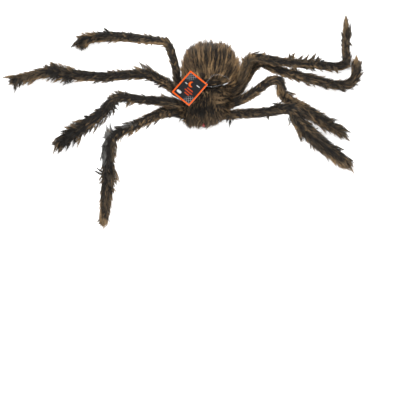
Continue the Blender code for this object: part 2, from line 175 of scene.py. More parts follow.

# Where the fur is of another tone, or painted lighter or darker as light, shade and sheen where
# a note says so: the middle across and down and the half sizes, in pixels of the photograph,
# then the tone as a tuft's, and how far the fur there goes to it
PATCHES = {
    "leg_left_1": (
        # The first patch is the lower edge's gold, painted light shining through the hair tips there.
        (144, 44.2, 26, 2.6, 1.0, 1.2), (86, 34, 12, 3, 0.95, 1.0), (134, 37, 34, 3, 0.14, 0.3),
        (106, 41, 14, 2.2, 0.9, 0.6), (78, 44, 8, 5, 0.2, 0.4), (172, 62, 3, 18, 0.2, 0.5),
    ),
    "leg_left_2": (
        (80, 81, 9, 1.8, 0.85, 0.5), (28, 75.5, 20, 5, 0.8, 0.6), (53, 73, 8, 9, 0.15, 0.8),
        (17, 83, 5, 4, 0.25, 0.7), (66, 80, 6, 6, 0.2, 0.6), (98, 77, 26, 5, 0.2, 0.5),
        (150, 77, 18, 8, 0.25, 0.5),
    ),
    "leg_left_3": (
        (98, 112, 28, 14, 0.2, 0.8), (75, 136, 22, 13, 0.15, 0.75), (59, 146, 8, 9, 0.2, 0.6),
        (145, 101, 25, 6, 0.25, 0.45),
    ),
    "leg_left_4": (
        # The first and last patches are grey, a painted sheen on flat-lying hair.
        (102.3, 147, 4.6, 22, 0.0, 1.3), (117, 168, 2.4, 20, 0.85, 0.55), (110, 150, 3.5, 17, 0.15, 0.8),
        (105, 208, 8, 23, 0.65, 0.45), (109, 179, 5, 9, 0.3, 0.6), (99.8, 212, 1.8, 17, 0.95, 0.9),
        (103.5, 224, 7, 6, 0.9, 0.4), (124, 124.8, 13, 3.2, 0.0, 0.65),
    ),
    "leg_right_1": (
        (344, 28, 4, 14, 0.9, 0.7), (347, 22, 4, 9, 0.7, 0.5), (254, 59, 8, 6, 0.85, 0.6),
        (244, 76, 8, 18, 0.8, 0.65), (300, 63, 45, 9, 0.6, 0.12),
    ),
    "leg_right_2": (
        # The third and fourth patches are lighter partly for golden streaks and partly as painted light over
        # the shade at the leg's root.
        (270, 73, 8, 3, 0.85, 0.6), (288, 79.5, 10, 3, 0.85, 0.6), (249, 78, 9, 18, 0.75, 0.6),
        (256, 65, 6, 4, 0.8, 0.6), (300, 81, 34, 9, 0.65, 0.4), (350, 75, 10, 14, 0.65, 0.4),
    ),
    "leg_right_3": (
        (303, 100, 9, 3, 0.8, 0.5), (322, 126, 6, 5, 0.8, 0.5), (300, 102, 16, 12, 0.65, 0.4),
        (326, 121, 22, 5, 0.2, 0.5), (262, 86, 22, 7, 0.15, 0.5), (276, 86, 2, 9, 0.85, 0.5),
    ),
    "leg_right_4": (
        (338, 164, 12, 3, 0.85, 0.5), (349, 163, 5, 7, 0.4, 0.4), (318, 145, 26, 14, 0.25, 0.55),
        (268, 118, 36, 8, 0.2, 0.75),
    ),
    "abdomen": (
        # The second patch is lighter partly for a golden lick of fur and partly as painted light over the
        # seam's shaded hollow. The third and fifth are golden rims, partly the hair's colour and partly
        # painted light shining through its tips.
        (220, 77.5, 6, 3, 0.2, 0.5), (216, 84, 10, 3, 0.8, 0.6), (238, 60, 5, 14, 0.95, 0.6),
        (226, 62, 7, 16, 0.3, 0.35), (182.5, 62, 3, 14, 0.85, 0.5), (189, 58, 6, 14, 0.25, 0.6),
        (213, 55, 14, 12, 0.4, 0.25),
    ),
    "head": (
        # The first three patches make the lower middle of the head darker. The last patch is lighter partly
        # for a golden lick of fur and partly as painted light over the seam's shaded hollow.
        (204, 112, 16, 8, 0.12, 0.6), (208, 107, 11, 6, 0.2, 0.45), (186, 112, 9, 7, 0.15, 0.45),
        (218, 100, 8, 3.5, 0.8, 0.35), (216, 87, 12, 4, 0.75, 0.5),
    ),
}

# Tufts that stand out from the pile, read off the photograph. Each one is the pixel of its
# tip, the pixel it grows from, its width in pixels, its tone from 0 (grey, a painted sheen)
# through 0.2 (dark) and 0.5 (brown) to 1 (gold), and, where its tip rises or hangs, by how many
# millimetres
TUFTS = {
    "leg_left_1": (
        (103.5, 27.5, 108, 33, 2.6, 0.3, 3), (165.3, 36, 169, 42, 4, 0.5, 6), (70.5, 47.8, 78, 42, 5, 0.3),
        (74.5, 36.5, 82, 38, 4, 0.5, 2), (81, 51.5, 83, 44, 6, 0.25), (87.5, 48, 86, 42, 4, 0.75),
        (84.5, 50.3, 86, 43, 5, 0.5), (93, 43.8, 97, 39, 2, 0.4), (106, 42, 111, 39, 2, 0.4),
        (115.5, 42, 120, 39, 2.4, 0.8),
    ),
    "leg_left_2": (
        (1.2, 77.8, 13, 77, 4, 0.85), (2.5, 78.5, 11, 78, 2.4, 0.8), (8, 86, 14, 79, 3, 0.5),
        (14.2, 93.5, 17, 80, 5, 0.3), (19.6, 88, 20, 80, 2.4, 0.2), (22.4, 86, 26, 79, 3, 0.7),
        (27.5, 85.5, 33, 79, 4, 0.8), (47.6, 61, 55, 68, 4, 0.8, 5), (44, 64.3, 50, 70, 4, 0.2, 4),
        (50, 61.5, 57, 68, 3, 0.7, 5), (52, 62.3, 58, 69, 4, 0.3, 5), (62.3, 64.6, 72, 71, 3, 0.7, 4),
        (59.5, 68, 66, 72, 3, 0.3, 3), (52, 83, 59, 77, 4, 0.6), (60, 83, 66, 77, 3, 0.4),
        (62.2, 85.8, 68, 78, 2.4, 0.3), (67, 84.6, 72, 78, 3, 0.2), (91.5, 83.7, 101, 79, 3, 0.4),
        (103, 83, 110, 79, 3, 0.4), (132.6, 65.8, 142, 72, 4, 0.6, 4), (137.4, 61.4, 147, 70, 4, 0.6, 6),
        (144, 63, 153, 71, 4, 0.5, 6), (136, 79.5, 143, 77, 3, 0.7), (157, 88, 163, 84, 3, 0.3),
    ),
    "leg_left_3": (
        (159.3, 92.8, 164.5, 98, 2, 0.7, 3), (116.5, 90, 122.5, 95, 2.8, 0.5, 4),
        (112, 93.3, 118, 97, 3, 0.4, 4), (108.8, 95.5, 114, 99, 2.4, 0.5, 3),
        (125.3, 108.5, 129.5, 101, 3.4, 0.7), (129, 106, 134, 101, 3, 0.7),
        (93.5, 110.5, 99, 110, 2.6, 0.5, 3), (112.5, 118, 114.5, 108, 3, 0.5),
        (108.3, 119.5, 110.5, 110, 2.4, 0.4), (105, 122.5, 107, 112, 2.6, 0.4),
        (102, 126, 104.5, 116, 2.4, 0.6), (97.6, 129.5, 101, 119, 2.8, 0.5),
        (92.5, 134.5, 97, 123, 3.4, 0.7), (88.5, 134.5, 92, 127, 3.4, 0.5), (84, 137, 88, 129, 3, 0.5),
        (76.7, 148, 79.5, 136, 4, 0.95), (72.5, 147, 76, 138, 4, 0.3), (65.5, 151.5, 70, 143, 4, 0.3),
        (75.5, 121, 83, 121.5, 3, 0.6, 4), (69, 125.5, 77, 126.5, 3, 0.6, 4),
        (62.5, 126.3, 71, 129, 3, 0.8, 4), (59.5, 131.6, 68, 132.5, 3.4, 0.3, 3),
        (55, 139.5, 63, 137, 3.4, 0.3, 3), (51, 144.5, 58, 142, 5, 0.3), (52.8, 156.5, 55, 146, 3.4, 0.6),
        (57, 154.5, 60.5, 147, 4, 0.5), (119.5, 106, 113, 101, 5, 0.2, 2),
        (118, 110, 111.5, 104, 4, 0.15, 2), (116, 113, 110, 106.5, 4, 0.25),
    ),
    "leg_left_4": (
        # Tufts of tone 0 and 0.1 are grey, a painted sheen on flat-lying hair.
        (106.3, 124, 107, 134, 3, 0.0, 3), (110, 122, 110, 132, 3, 0.1, 3), (108, 127, 108, 137, 6, 0.0, 4),
        (105, 130, 106.5, 139, 4, 0.0, 3), (102, 137.5, 107, 137, 3, 0.1), (99.3, 164, 102.5, 153, 3, 0.0),
        (100.8, 158, 103.5, 144, 4, 0.0), (101.8, 149, 104.5, 138, 3.4, 0.0), (93, 170.3, 101, 175, 3, 0.2),
        (96, 167, 101.5, 172, 2.4, 0.3), (116.4, 157, 113.5, 145, 3.4, 0.5), (117.2, 148, 113, 139, 4, 0.5),
        (125.5, 139, 133, 133, 3, 0.95), (145, 130.3, 150, 125, 2.4, 0.3), (120, 184.5, 113, 172, 4, 0.95),
        (117, 186, 112, 175, 4, 0.6), (112, 187, 109, 176, 5, 0.35), (121.5, 123.5, 129, 122.5, 2.6, 0.4, 3),
        (112.5, 127.3, 120, 127.5, 3, 0.0, 3), (153, 125.5, 158, 121, 3, 0.4),
        (168, 119.5, 172, 112, 4, 0.4), (104, 229, 103.5, 219, 4, 0.85),
    ),
    "leg_right_1": (
        (252.8, 53.3, 250.5, 61, 5, 0.9, 4), (257, 54, 255, 61, 4, 0.6, 4),
        (265.3, 51.8, 261.5, 59, 4, 0.6, 4), (269, 54.3, 266, 60, 4, 0.4, 4),
        (288.3, 52, 290.5, 59, 3, 0.5, 3), (295, 52.8, 291.5, 59, 4, 0.8, 3),
        (303.8, 54.6, 298.5, 61, 3, 0.5, 2), (309.4, 53.6, 303.5, 62, 3.2, 0.5, 2),
        (316, 53, 310.5, 62, 3, 0.5, 2), (319, 55.5, 316, 62, 2.4, 0.4, 2), (323.5, 58, 318, 62, 3, 0.4, 2),
        (345.9, 14.8, 346.5, 29, 4.4, 0.75), (345.8, 14, 346.6, 24, 1.8, 0.7), (350, 27, 348.5, 36, 4, 0.3),
        (350, 21.5, 349, 33, 3, 0.2), (341.2, 31, 344, 37, 3, 0.4), (352, 33, 349, 37, 2.4, 0.4),
        (353, 46.8, 348, 43, 2.6, 0.4), (351, 56, 347, 61, 3, 0.4), (350.5, 64, 346, 65, 3, 0.3),
        (338, 74, 335, 67, 4, 0.5), (332, 72.5, 328, 66, 4, 0.45), (241.5, 56, 245, 64, 4, 0.7, 4),
        (257, 58, 249, 68, 4, 0.55, 4), (254.5, 60, 247, 72, 3, 0.6, 6), (251, 63, 239, 90, 2.6, 1.0, 10),
        (256.5, 60, 245, 83, 2.2, 1.0, 8), (246, 68, 236.5, 94, 2.2, 1.0, 8), (249, 63, 241, 84, 2, 0.15, 9),
        (253.5, 62, 244, 80, 1.6, 0.15, 8), (247, 72, 240, 94, 2, 0.15, 8), (252, 52.8, 250, 60, 3, 0.95, 5),
        (255, 52.3, 252.5, 60, 3, 0.8, 5), (259, 54, 256, 61, 2.4, 0.9, 4),
    ),
    "leg_right_2": (
        (317, 74.8, 309, 74, 2.4, 0.5, 2), (356.4, 53.3, 356, 64, 4, 0.9), (351.5, 60, 353.5, 68, 3.6, 0.4),
        (360, 60.5, 358, 68, 3, 0.5), (327, 90, 323, 84, 5, 0.3), (345, 92, 339, 87, 4, 0.3),
        (312.5, 87, 306, 83, 3, 0.7), (356.5, 84, 351, 86, 5, 0.4),
    ),
    "leg_right_3": (
        (279, 76.3, 271, 78, 3, 0.6, 4), (277.3, 99, 277.5, 86, 2.2, 0.9), (326.7, 134.5, 322, 126, 3, 0.9),
        (331.5, 134, 327, 127, 3, 0.5), (321.5, 128, 316, 121, 4, 0.8), (315, 121.5, 308, 114, 4, 0.7),
        (307, 118, 299, 109, 5, 0.35, 2), (311, 121, 303, 113, 4, 0.5, 2), (351.5, 133, 342, 128, 4, 0.3),
        (351, 142, 343, 135, 3.6, 0.5), (349, 137, 341, 132, 4, 0.4), (345.8, 128, 338, 124, 4, 0.4),
        (339.5, 120.5, 331, 119, 3, 0.4, 2), (297, 94, 291, 92, 3, 0.7, 3),
        (312.5, 119.5, 304.5, 112, 5, 0.35),
    ),
    "leg_right_4": (
        (268.5, 120, 267.5, 113, 3, 0.3), (229.3, 128, 231, 119, 2.2, 0.2),
        (226.5, 122.5, 229, 116, 2.6, 0.3), (233, 122, 234, 116, 2.4, 0.3),
        (301.2, 143, 301.5, 133, 3.4, 0.4), (305.5, 143, 307, 135, 3, 0.3), (318, 151, 315, 143, 3.4, 0.3),
        (354, 174, 349, 163, 4, 0.75), (350, 171, 343, 162, 4, 0.6), (354.5, 163.5, 347, 156, 6, 0.4),
        (354, 169, 346, 159, 6, 0.5), (346, 150.5, 337, 147, 3, 0.4, 3), (313.5, 125, 306, 121, 3, 0.5, 3),
        (311, 120.5, 302, 114, 4, 0.35, 3), (316, 130.5, 309, 126, 3, 0.5, 3),
        (271, 102.6, 279, 105, 4, 0.3, 5), (283, 101, 278, 105, 4, 0.3, 5), (325, 156, 320, 149, 3, 0.4),
        (311, 121.5, 304, 115, 5, 0.25), (315, 127, 308.5, 121, 3, 0.3),
    ),
    "abdomen": (
        (212.5, 61, 208.5, 78, 3, 1.0, 12), (210, 66, 206, 80, 2.4, 0.9, 8),
        (231, 44.5, 226, 54, 4, 0.8, -8), (225, 42.5, 222, 52, 4, 0.7, -8),
        (186.5, 50, 190, 60, 5, 0.8, -10), (239.5, 57, 234, 66, 5, 0.9, -10), (241, 66, 236, 76, 4, 0.8, -8),
        (181, 66, 186, 75, 4, 0.7, -8), (200, 41.5, 201, 50, 4, 0.5, -8), (214, 79, 224, 85, 3, 0.9, 5),
        (222, 79, 212, 85, 2, 0.8, 4), (219, 72, 217, 83, 2.4, 0.5, 4), (188.5, 51, 191.5, 66, 2.2, 0.9, -4),
        (214.5, 55, 209.5, 72, 2.2, 0.9, 4), (227, 54, 223.5, 72, 2.2, 0.85, 2),
        (236, 60, 231, 75, 2.4, 0.9, -2), (203.5, 48, 202, 62, 2, 0.8, -6), (196, 56, 198, 72, 2, 0.8, 2),
        (241.5, 58.5, 236, 68, 3, 0.9, -10), (242.5, 63, 237, 71, 2.4, 0.9, -8),
    ),
    "head": (
        (179, 122.5, 182, 114, 3.4, 0.4, -8), (184, 123.5, 187, 114, 4, 0.4, -10),
        (188.5, 127, 188, 113, 5, 0.3, -12), (191.5, 128, 190, 114, 5, 0.4, -12),
        (186.5, 125.5, 186.5, 113, 5, 0.4, -11), (197, 128.6, 197, 118, 4, 0.6, -22),
        (190.5, 129, 190.5, 116, 5, 0.4, -6), (187.8, 128.3, 188.5, 117, 5, 0.35, -6),
        (193.5, 129, 192.5, 116, 5, 0.4, -8), (205.8, 127, 206, 118, 1.6, 0.45, -8),
        (189.6, 128, 189.5, 119, 5, 0.35, -4), (190, 128.5, 190, 118, 5, 0.3, -5),
        (189, 127.5, 189.5, 120, 4, 0.35, -3), (207.5, 127.5, 207.5, 117, 3.4, 0.6, -22),
        (215, 125.6, 213, 116, 4, 0.5, -20), (220.5, 121.8, 217, 112, 4, 0.5, -12),
        (223.5, 119, 220, 111, 3.6, 0.4, -8), (226, 97.5, 212, 99.5, 2.4, 0.9, 2),
        (225, 102, 212, 103.5, 2.4, 0.9, 2), (221, 94.5, 211, 96, 2, 0.8, 2),
    ),
}
TUFT_STRANDS_PER_PIXEL = 17

# A patch or tuft up to the first tone is grey, a painted sheen on flat-lying hair. No strand outside one is
# under the second
PAINTED_SHEEN_TOP = 0.1
DARKEST = 0.15

# The fur's colours: the one at a strand's root, darker as painted shade deep in the coat, then
# those of its tones from 0 to 1, the first of them a grey painted sheen
STRAND_COLOURS = ("PaintedRootShade", "PaintedSheen", "Shade", "Brown", "Gold")
FUR_COLOURS = {
    "abdomen": (
        (0.008, 0.007, 0.006), (0.10, 0.10, 0.095), (0.020, 0.016, 0.013), (0.076, 0.054, 0.033),
        (0.43, 0.273, 0.133),
    ),
    "head": (
        (0.006, 0.005, 0.004), (0.08, 0.08, 0.075), (0.013, 0.011, 0.009), (0.060, 0.044, 0.028),
        (0.27, 0.178, 0.094),
    ),
    "leg": (
        (0.009, 0.008, 0.007), (0.17, 0.165, 0.155), (0.025, 0.023, 0.021), (0.092, 0.071, 0.049),
        (0.37, 0.242, 0.122),
    ),
}

# A layer of fur: strands a square millimetre, and the share of them on the underside; their
# length; how high they lie; how much their locks turn aside; the spread of their tones, the
# middle one, and how much lighter the flanks are painted, as painted light shining through the
# hair there; their width; how many go in a lock; the share of locks that stand proud and of
# strands that stray; the steps along a strand; how far it is drawn to its lock, and how much of
# its tone it has from it. Lengths are in millimetres
Layer = namedtuple(
    "Layer",
    "density under length lift sway contrast tone gilt_sides width per_lock proud stray steps clump by_lock",
    defaults=(10, 0.0, 0.0, 1, 0.5, 0.2),
)
LEG_UNDERFUR = Layer(0.42, 0.8, 17.0, 0.9, 0.12, 2.0, 0.34, 0.3, 0.8)
LEG_FUR = Layer(0.46, 0.7, 24.0, 1.1, 0.14, 2.2, 0.47, 0.8, 0.64, 9, 0.24, 0.03, 2, 0.84, 0.1)
ABDOMEN_UNDERFUR = Layer(0.45, 0.5, 20.0, 1.1, 0.12, 2.2, 0.34, 0.2, 0.9)
ABDOMEN_FUR = Layer(0.60, 0.4, 44.0, 1.2, 0.07, 3.8, 0.47, 0.5, 0.66, 5, 0.12, 0.06, 2, 0.82, 0.2)
HEAD_UNDERFUR = Layer(0.45, 0.5, 16.0, 1.2, 0.2, 2.0, 0.26, 0.2, 0.85)
HEAD_FUR = Layer(0.66, 0.4, 25.0, 1.3, 0.24, 3.6, 0.43, 0.4, 0.67, 7, 0.1, 0.06, 2, 0.82, 0.36)
SEAM_FUR = Layer(0.6, 0.3, 25.0, 2.2, 1.1, 3.4, 0.44, 0.2, 0.7, 8, 0.0, 0.0, 2, 0.8, 0.36)
BAG_SEED = 70
LEG_SEED = 40

# A strand's faces: each one's corners, and how far along the strand each of them is
SPIKE_SIDE = (0.03, 0.03, 0.97)
SPIKE_FACES = (
    ((0, 2, 1), (0.0, 0.03, 0.0)), ((0, 1, 3), SPIKE_SIDE), ((1, 2, 3), SPIKE_SIDE), ((2, 0, 3), SPIKE_SIDE),
)
SPINDLE_BUTT = (0.02, 0.45, 0.45)
SPINDLE_TIP = (0.45, 0.45, 0.98)
SPINDLE_FACES = (
    ((0, 2, 1), SPINDLE_BUTT), ((0, 3, 2), SPINDLE_BUTT), ((0, 1, 3), SPINDLE_BUTT),
    ((1, 2, 4), SPINDLE_TIP), ((2, 3, 4), SPINDLE_TIP), ((3, 1, 4), SPINDLE_TIP),
)

# The UV map that holds each strand's tone and the way along it, by the name that a bake keeps
STRAND_MAP = "OFBake"

# How the fur meets other things, in millimetres: how deep strands root in the cloth, how far
# outside a bag's cloth a leg's strands root at least, how low a tuft's tip may be, and the room
# that strands leave over the floor, under the card and round it
ROOT_DEPTH = 0.8
BURIED = -1.0
LOWEST_TIP = 1.5
FLOOR_GAP = 0.4
UNDER_CARD_GAP = 1.2
CARD_MARGIN = 0.5

# How far round a leg the head's fur turns along it, in millimetres, and how strongly
LEG_PULL_REACH = 20.0
LEG_PULL = 2.2

# How a patch takes its strands to its tone: how soon it does so fully, the tone that it leaves
# as it is, and how far it moves all tones together and each to its own
PATCH_CORE = 1.6
MIDDLE_TONE = 0.45
PATCH_SHIFT = 0.6
PATCH_LEVELLING = 0.4

# How a strand lies: how much of its rise off the cloth is combed out, how much of its lift it
# keeps from stop to stop, and how soon it rises
COMBED_FLAT = 0.75
KEPT_LIFT = 0.08
EARLY_RISE = 0.8

# The card and the loop, as the solids have them, in millimetres
CARD_CENTRE = (-45.4, -54.5, 96.6)
CARD_WIDTH = 52.7
CARD_LENGTH = 65.1
CARD_THICKNESS = 0.8
CARD_TURN = math.radians(-41.3)
CARD_TILT_SIDE = math.radians(-8.0)
CARD_TILT_REAR = math.radians(6.0)
CARD_HOLE_INSET = 4.2
LOOP_THREAD = 4.0
LOOP_ROUTE = (
    (-3, -39, 112), (7, -28, 112), (23, -26, 107), (39, -28, 99), (46, -33, 87),
    (40, -39, 88), (26, -46, 96), (10, -51, 98), (-2, -51, 96),
)
LOOP_RADIUS = 0.25
LOCK_CENTRE = (35, -42, 91.5)
LOCK_LENGTH = 11.0
LOCK_RADIUS = 0.8

# The print, in millimetres from the middle of the card. A line, reach, rim, band or edge is
# where it starts and ends to fade, and each bar is (centre, length, height)
LATTICE_STEP = 3.4
LATTICE_LINE = (0.35, 0.75)
LATTICE_REACH = (20.0, 25.0)
MOON_CENTRE, MOON_RIM = (-3.0, 9.0), (6.4, 6.7)
BITE_CENTRE, BITE_RIM = (0.2, 11.0), (5.3, 5.6)
RED_BARS = (((3.0, -2.5), 17.0, 2.6), ((3.0, -8.3), 22.0, 2.6), ((3.0, -14.1), 13.0, 2.6))
WHITE_BARS = (((12.0, 15.0), 9.0, 2.0), ((-14.0, 4.0), 7.0, 1.6), ((-14.0, -21.0), 12.0, 6.0))
INK_BLUR = 0.1
EDGE_BAND = (3.3, 3.5)
SCUFFED_EDGE = (0.1, 0.7)
ORANGE_INK = (0.58, 0.072, 0.0)
CHARCOAL_INK = (0.005, 0.005, 0.006)
WORN_CHARCOAL = (0.012, 0.012, 0.014)
RED_INK = (0.34, 0.032, 0.003)
PALE_INK = (0.17, 0.17, 0.18)
WHITE_INK = (0.42, 0.42, 0.42)
BOARD = (0.36, 0.34, 0.31)

# The eyes' middles, and the bead's shape
EYES = {"eye_left": (-44.5, -124.0, 43.0), "eye_right": (-14.5, -125.3, 46.5)}
EYE_RADIUS = 3.4
EYE_BACK_SLOPE = 0.82
EYE_FLATTENING = 0.92
STEM_LENGTH = 3.0


def start_clean():
    """Deselect everything, so that an operator acts on the new piece alone."""
    if bpy.context.object and bpy.context.object.mode != "OBJECT":
        bpy.ops.object.mode_set(mode="OBJECT")
    bpy.ops.object.select_all(action="DESELECT")


def apply_place(piece):
    """Put a piece's place into its mesh."""
    start_clean()
    piece.select_set(True)
    bpy.context.view_layer.objects.active = piece
    bpy.ops.object.transform_apply(location=True, rotation=True, scale=True)


def pick_faces(piece, wanted):
    """Go into edit mode with the faces selected whose normals pass a test."""
    bpy.ops.object.mode_set(mode="EDIT")
    bpy.ops.mesh.select_all(action="DESELECT")
    bpy.ops.mesh.select_mode(type="FACE")
    bpy.ops.object.mode_set(mode="OBJECT")
    for face in piece.data.polygons:
        face.select = wanted(face.normal)
    bpy.ops.object.mode_set(mode="EDIT")


def leave_edit():
    """Turn every face outwards and leave edit mode."""
    bpy.ops.mesh.select_all(action="SELECT")
    bpy.ops.mesh.normals_make_consistent(inside=False)
    bpy.ops.object.mode_set(mode="OBJECT")


def finish_with(piece, kind, **settings):
    """Give a piece a modifier with its settings, and apply it."""
    modifier = piece.modifiers.new(kind, kind)
    for key, value in settings.items():
        setattr(modifier, key, value)
    bpy.ops.object.modifier_apply(modifier=kind)


def link_new(name, data):
    """Put a new object with its data into the scene."""
    made = bpy.data.objects.new(name, data)
    bpy.context.scene.collection.objects.link(made)
    return made


def dress(piece, material, slot, *nodes):
    """Give a piece its material, let it ride, and let it stand for its solids. The slot is not used."""
    piece.data.materials.clear()
    piece.data.materials.append(material)
    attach(piece, BODY)
    if nodes:
        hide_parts(*nodes)


# Materials


def join(tree, value, socket):
    """Give an input another node's output, or a plain value or colour."""
    if isinstance(value, bpy.types.NodeSocket):
        tree.links.new(value, socket)
    else:
        socket.default_value = (*value, 1.0) if socket.type == "RGBA" else value


def feed(tree, node, **inputs):
    """Give a node's inputs their outputs and plain values, by their names."""
    for key, value in inputs.items():
        join(tree, value, node.inputs[key.replace("_", " ")])


def add(tree, kind, **settings):
    """Add a node. A setting with a capital is for an input, any other for the node itself."""
    made = tree.nodes.new(kind)
    for key in [key for key in settings if key[0].islower()]:
        setattr(made, key, settings.pop(key))
    feed(tree, made, **settings)
    return made


def principled(name, **inputs):
    """Start a material, and set its shader's plain inputs."""
    material = bpy.data.materials.new(name)
    material.use_nodes = True
    shader = material.node_tree.nodes["Principled BSDF"]
    feed(material.node_tree, shader, **inputs)
    return material, material.node_tree, shader


def maths(tree, operation, *values):
    """Work out a value from sockets and plain numbers."""
    made = add(tree, "ShaderNodeMath", operation=operation)
    for socket, value in zip(made.inputs, values):
        join(tree, value, socket)
    return made.outputs[0]


def blend_colours(tree, share, first, second):
    """Mix two colours by a share, where each may be a socket or a plain colour."""
    mixer = add(tree, "ShaderNodeMix", data_type="RGBA", Factor=share)
    join(tree, first, mixer.inputs[6])
    join(tree, second, mixer.inputs[7])
    return mixer.outputs[2]


def ease(tree, value, start, end, low=0.0, high=1.0):
    """Turn a value into a smooth step from low to high between start and end."""
    step = add(
        tree, "ShaderNodeMapRange", interpolation_type="SMOOTHSTEP",
        Value=value, From_Min=start, From_Max=end, To_Min=low, To_Max=high,
    )
    return step.outputs["Result"]


def on_piece(tree):
    """Give the place on the piece."""
    return add(tree, "ShaderNodeTexCoord").outputs["Object"]


def clouds(tree, place, scale, detail):
    """Give a cloudy value from 0 to 1 over the piece."""
    return add(tree, "ShaderNodeTexNoise", Vector=place, Scale=scale, Detail=detail).outputs["Fac"]


def make_fur_palette():
    """Build the colours of a strand: its tone runs across the strand map and its length up it."""
    group = bpy.data.node_groups.new("fur_palette", "ShaderNodeTree")
    for title in STRAND_COLOURS:
        group.interface.new_socket(title, in_out="INPUT", socket_type="NodeSocketColor")
    for title, kind in (("Color", "Color"), ("Roughness", "Float")):
        group.interface.new_socket(title, in_out="OUTPUT", socket_type="NodeSocket" + kind)
    root, painted_sheen, shade, brown, gold = group.nodes.new("NodeGroupInput").outputs[:5]
    strand = add(group, "ShaderNodeUVMap", uv_map=STRAND_MAP)
    parts = add(group, "ShaderNodeSeparateXYZ", Vector=strand.outputs["UV"])
    tone, along = parts.outputs["X"], parts.outputs["Y"]
    # The lowest tones go to a grey painted sheen, as of flat-lying hair catching the light.
    dark = blend_colours(group, ease(group, tone, 0.03, 0.14), painted_sheen, shade)
    body = blend_colours(group, ease(group, tone, 0.18, 0.6), dark, brown)
    # Gold along the lightest streaks is the fur's own; towards the tips it is painted light shining through
    # them.
    streak = maths(group, "MULTIPLY", ease(group, tone, 0.5, 0.95), ease(group, along, 0.1, 0.7))
    painted_tip_glow = ease(group, along, 0.55, 0.95, 0.0, 0.8)
    tip = maths(group, "MULTIPLY", painted_tip_glow, ease(group, tone, 0.34, 0.62))
    gilded = blend_colours(group, maths(group, "MAXIMUM", streak, tip), body, gold)
    # Towards the root the colour goes to the root colour, painted shade deep in the coat.
    grown = blend_colours(group, ease(group, along, 0.0, 0.5), root, gilded)
    roughness = ease(group, along, 0.0, 1.0, 0.85, 0.5)
    feed(group, group.nodes.new("NodeGroupOutput"), Color=grown, Roughness=roughness)
    return group


def fur_material(name, palette, colours):
    """Make the finish of one kind of fur from its five colours."""
    material, tree, shader = principled(name, Specular_IOR_Level=0.15)
    fur = add(tree, "ShaderNodeGroup", node_tree=palette)
    feed(tree, fur, **dict(zip(STRAND_COLOURS, colours)))
    feed(tree, shader, Base_Color=fur.outputs["Color"], Roughness=fur.outputs["Roughness"])
    return material


def cloth_material():
    """Make the dark knitted backing under the fur."""
    material, tree, shader = principled("backing_cloth", Roughness=0.9, Specular_IOR_Level=0.2)
    place = on_piece(tree)
    knit = add(tree, "ShaderNodeTexVoronoi", Vector=place, Scale=900.0).outputs["Distance"]
    bump = add(tree, "ShaderNodeBump", Strength=0.5, Distance=0.0006, Height=knit)
    blotches = clouds(tree, place, 140.0, 4.0)
    shade = blend_colours(tree, blotches, (0.010, 0.008, 0.006), (0.03, 0.022, 0.016))
    feed(tree, shader, Base_Color=shade, Normal=bump.outputs["Normal"])
    return material


def floor_material():
    """Make the plain pale floor, faintly lit from below as a light table is."""
    return principled(
        "studio_floor", Base_Color=(0.93, 0.93, 0.93), Roughness=0.9, Specular_IOR_Level=0.0,
        Emission_Color=WHITE, Emission_Strength=FLOOR_GLOW,
    )[0]


def bead_material():
    """Make the eyes' moulded red plastic, darker and rougher where it is handled less."""
    material, tree, shader = principled("red_bead", IOR=1.49, Coat_Weight=0.3)
    cloud = clouds(tree, on_piece(tree), 600.0, 3.0)
    red = blend_colours(tree, cloud, (0.15, 0.017, 0.015), (0.25, 0.032, 0.028))
    feed(tree, shader, Base_Color=red, Roughness=ease(tree, cloud, 0.3, 0.7, 0.25, 0.4))
    return material


def nylon_material(name, clear):
    """Make the loop's nylon, more or less clear."""
    material, tree, shader = principled(
        name, IOR=1.53, Transmission_Weight=clear, Base_Color=(0.8, 0.81, 0.84)
    )
    haze = clouds(tree, on_piece(tree), 350.0, 2.0)
    feed(tree, shader, Roughness=ease(tree, haze, 0.3, 0.7, 0.1, 0.28))
    return material


def card_matrix():
    """Give the card's place in millimetres: turned in its plane, tilted, over the seam."""
    tilt = Matrix.Rotation(CARD_TILT_REAR, 4, "X") @ Matrix.Rotation(CARD_TILT_SIDE, 4, "Y")
    return Matrix.Translation(CARD_CENTRE) @ tilt @ Matrix.Rotation(CARD_TURN, 4, "Z")


def gap_to(tree, x, y, centre, reach=0.0):
    """Give the distance on the card from a point, or from a line with a reach to both sides."""
    across = maths(tree, "ABSOLUTE", maths(tree, "SUBTRACT", x, centre[0]))
    past = maths(tree, "MAXIMUM", maths(tree, "SUBTRACT", across, reach), 0.0)
    up = maths(tree, "SUBTRACT", y, centre[1])
    squares = [maths(tree, "POWER", side, 2.0) for side in (past, up)]
    return maths(tree, "SQRT", maths(tree, "ADD", *squares))


def print_bars(tree, x, y, bars):
    """Mask printed bars with rounded ends: 1 inside and 0 outside."""
    mask = 0.0
    for centre, length, height in bars:
        gap = gap_to(tree, x, y, centre, (length - height) / 2.0)
        bar = ease(tree, gap, height / 2.0 - INK_BLUR, height / 2.0 + INK_BLUR, 1.0, 0.0)
        mask = maths(tree, "MAXIMUM", mask, bar)
    return mask


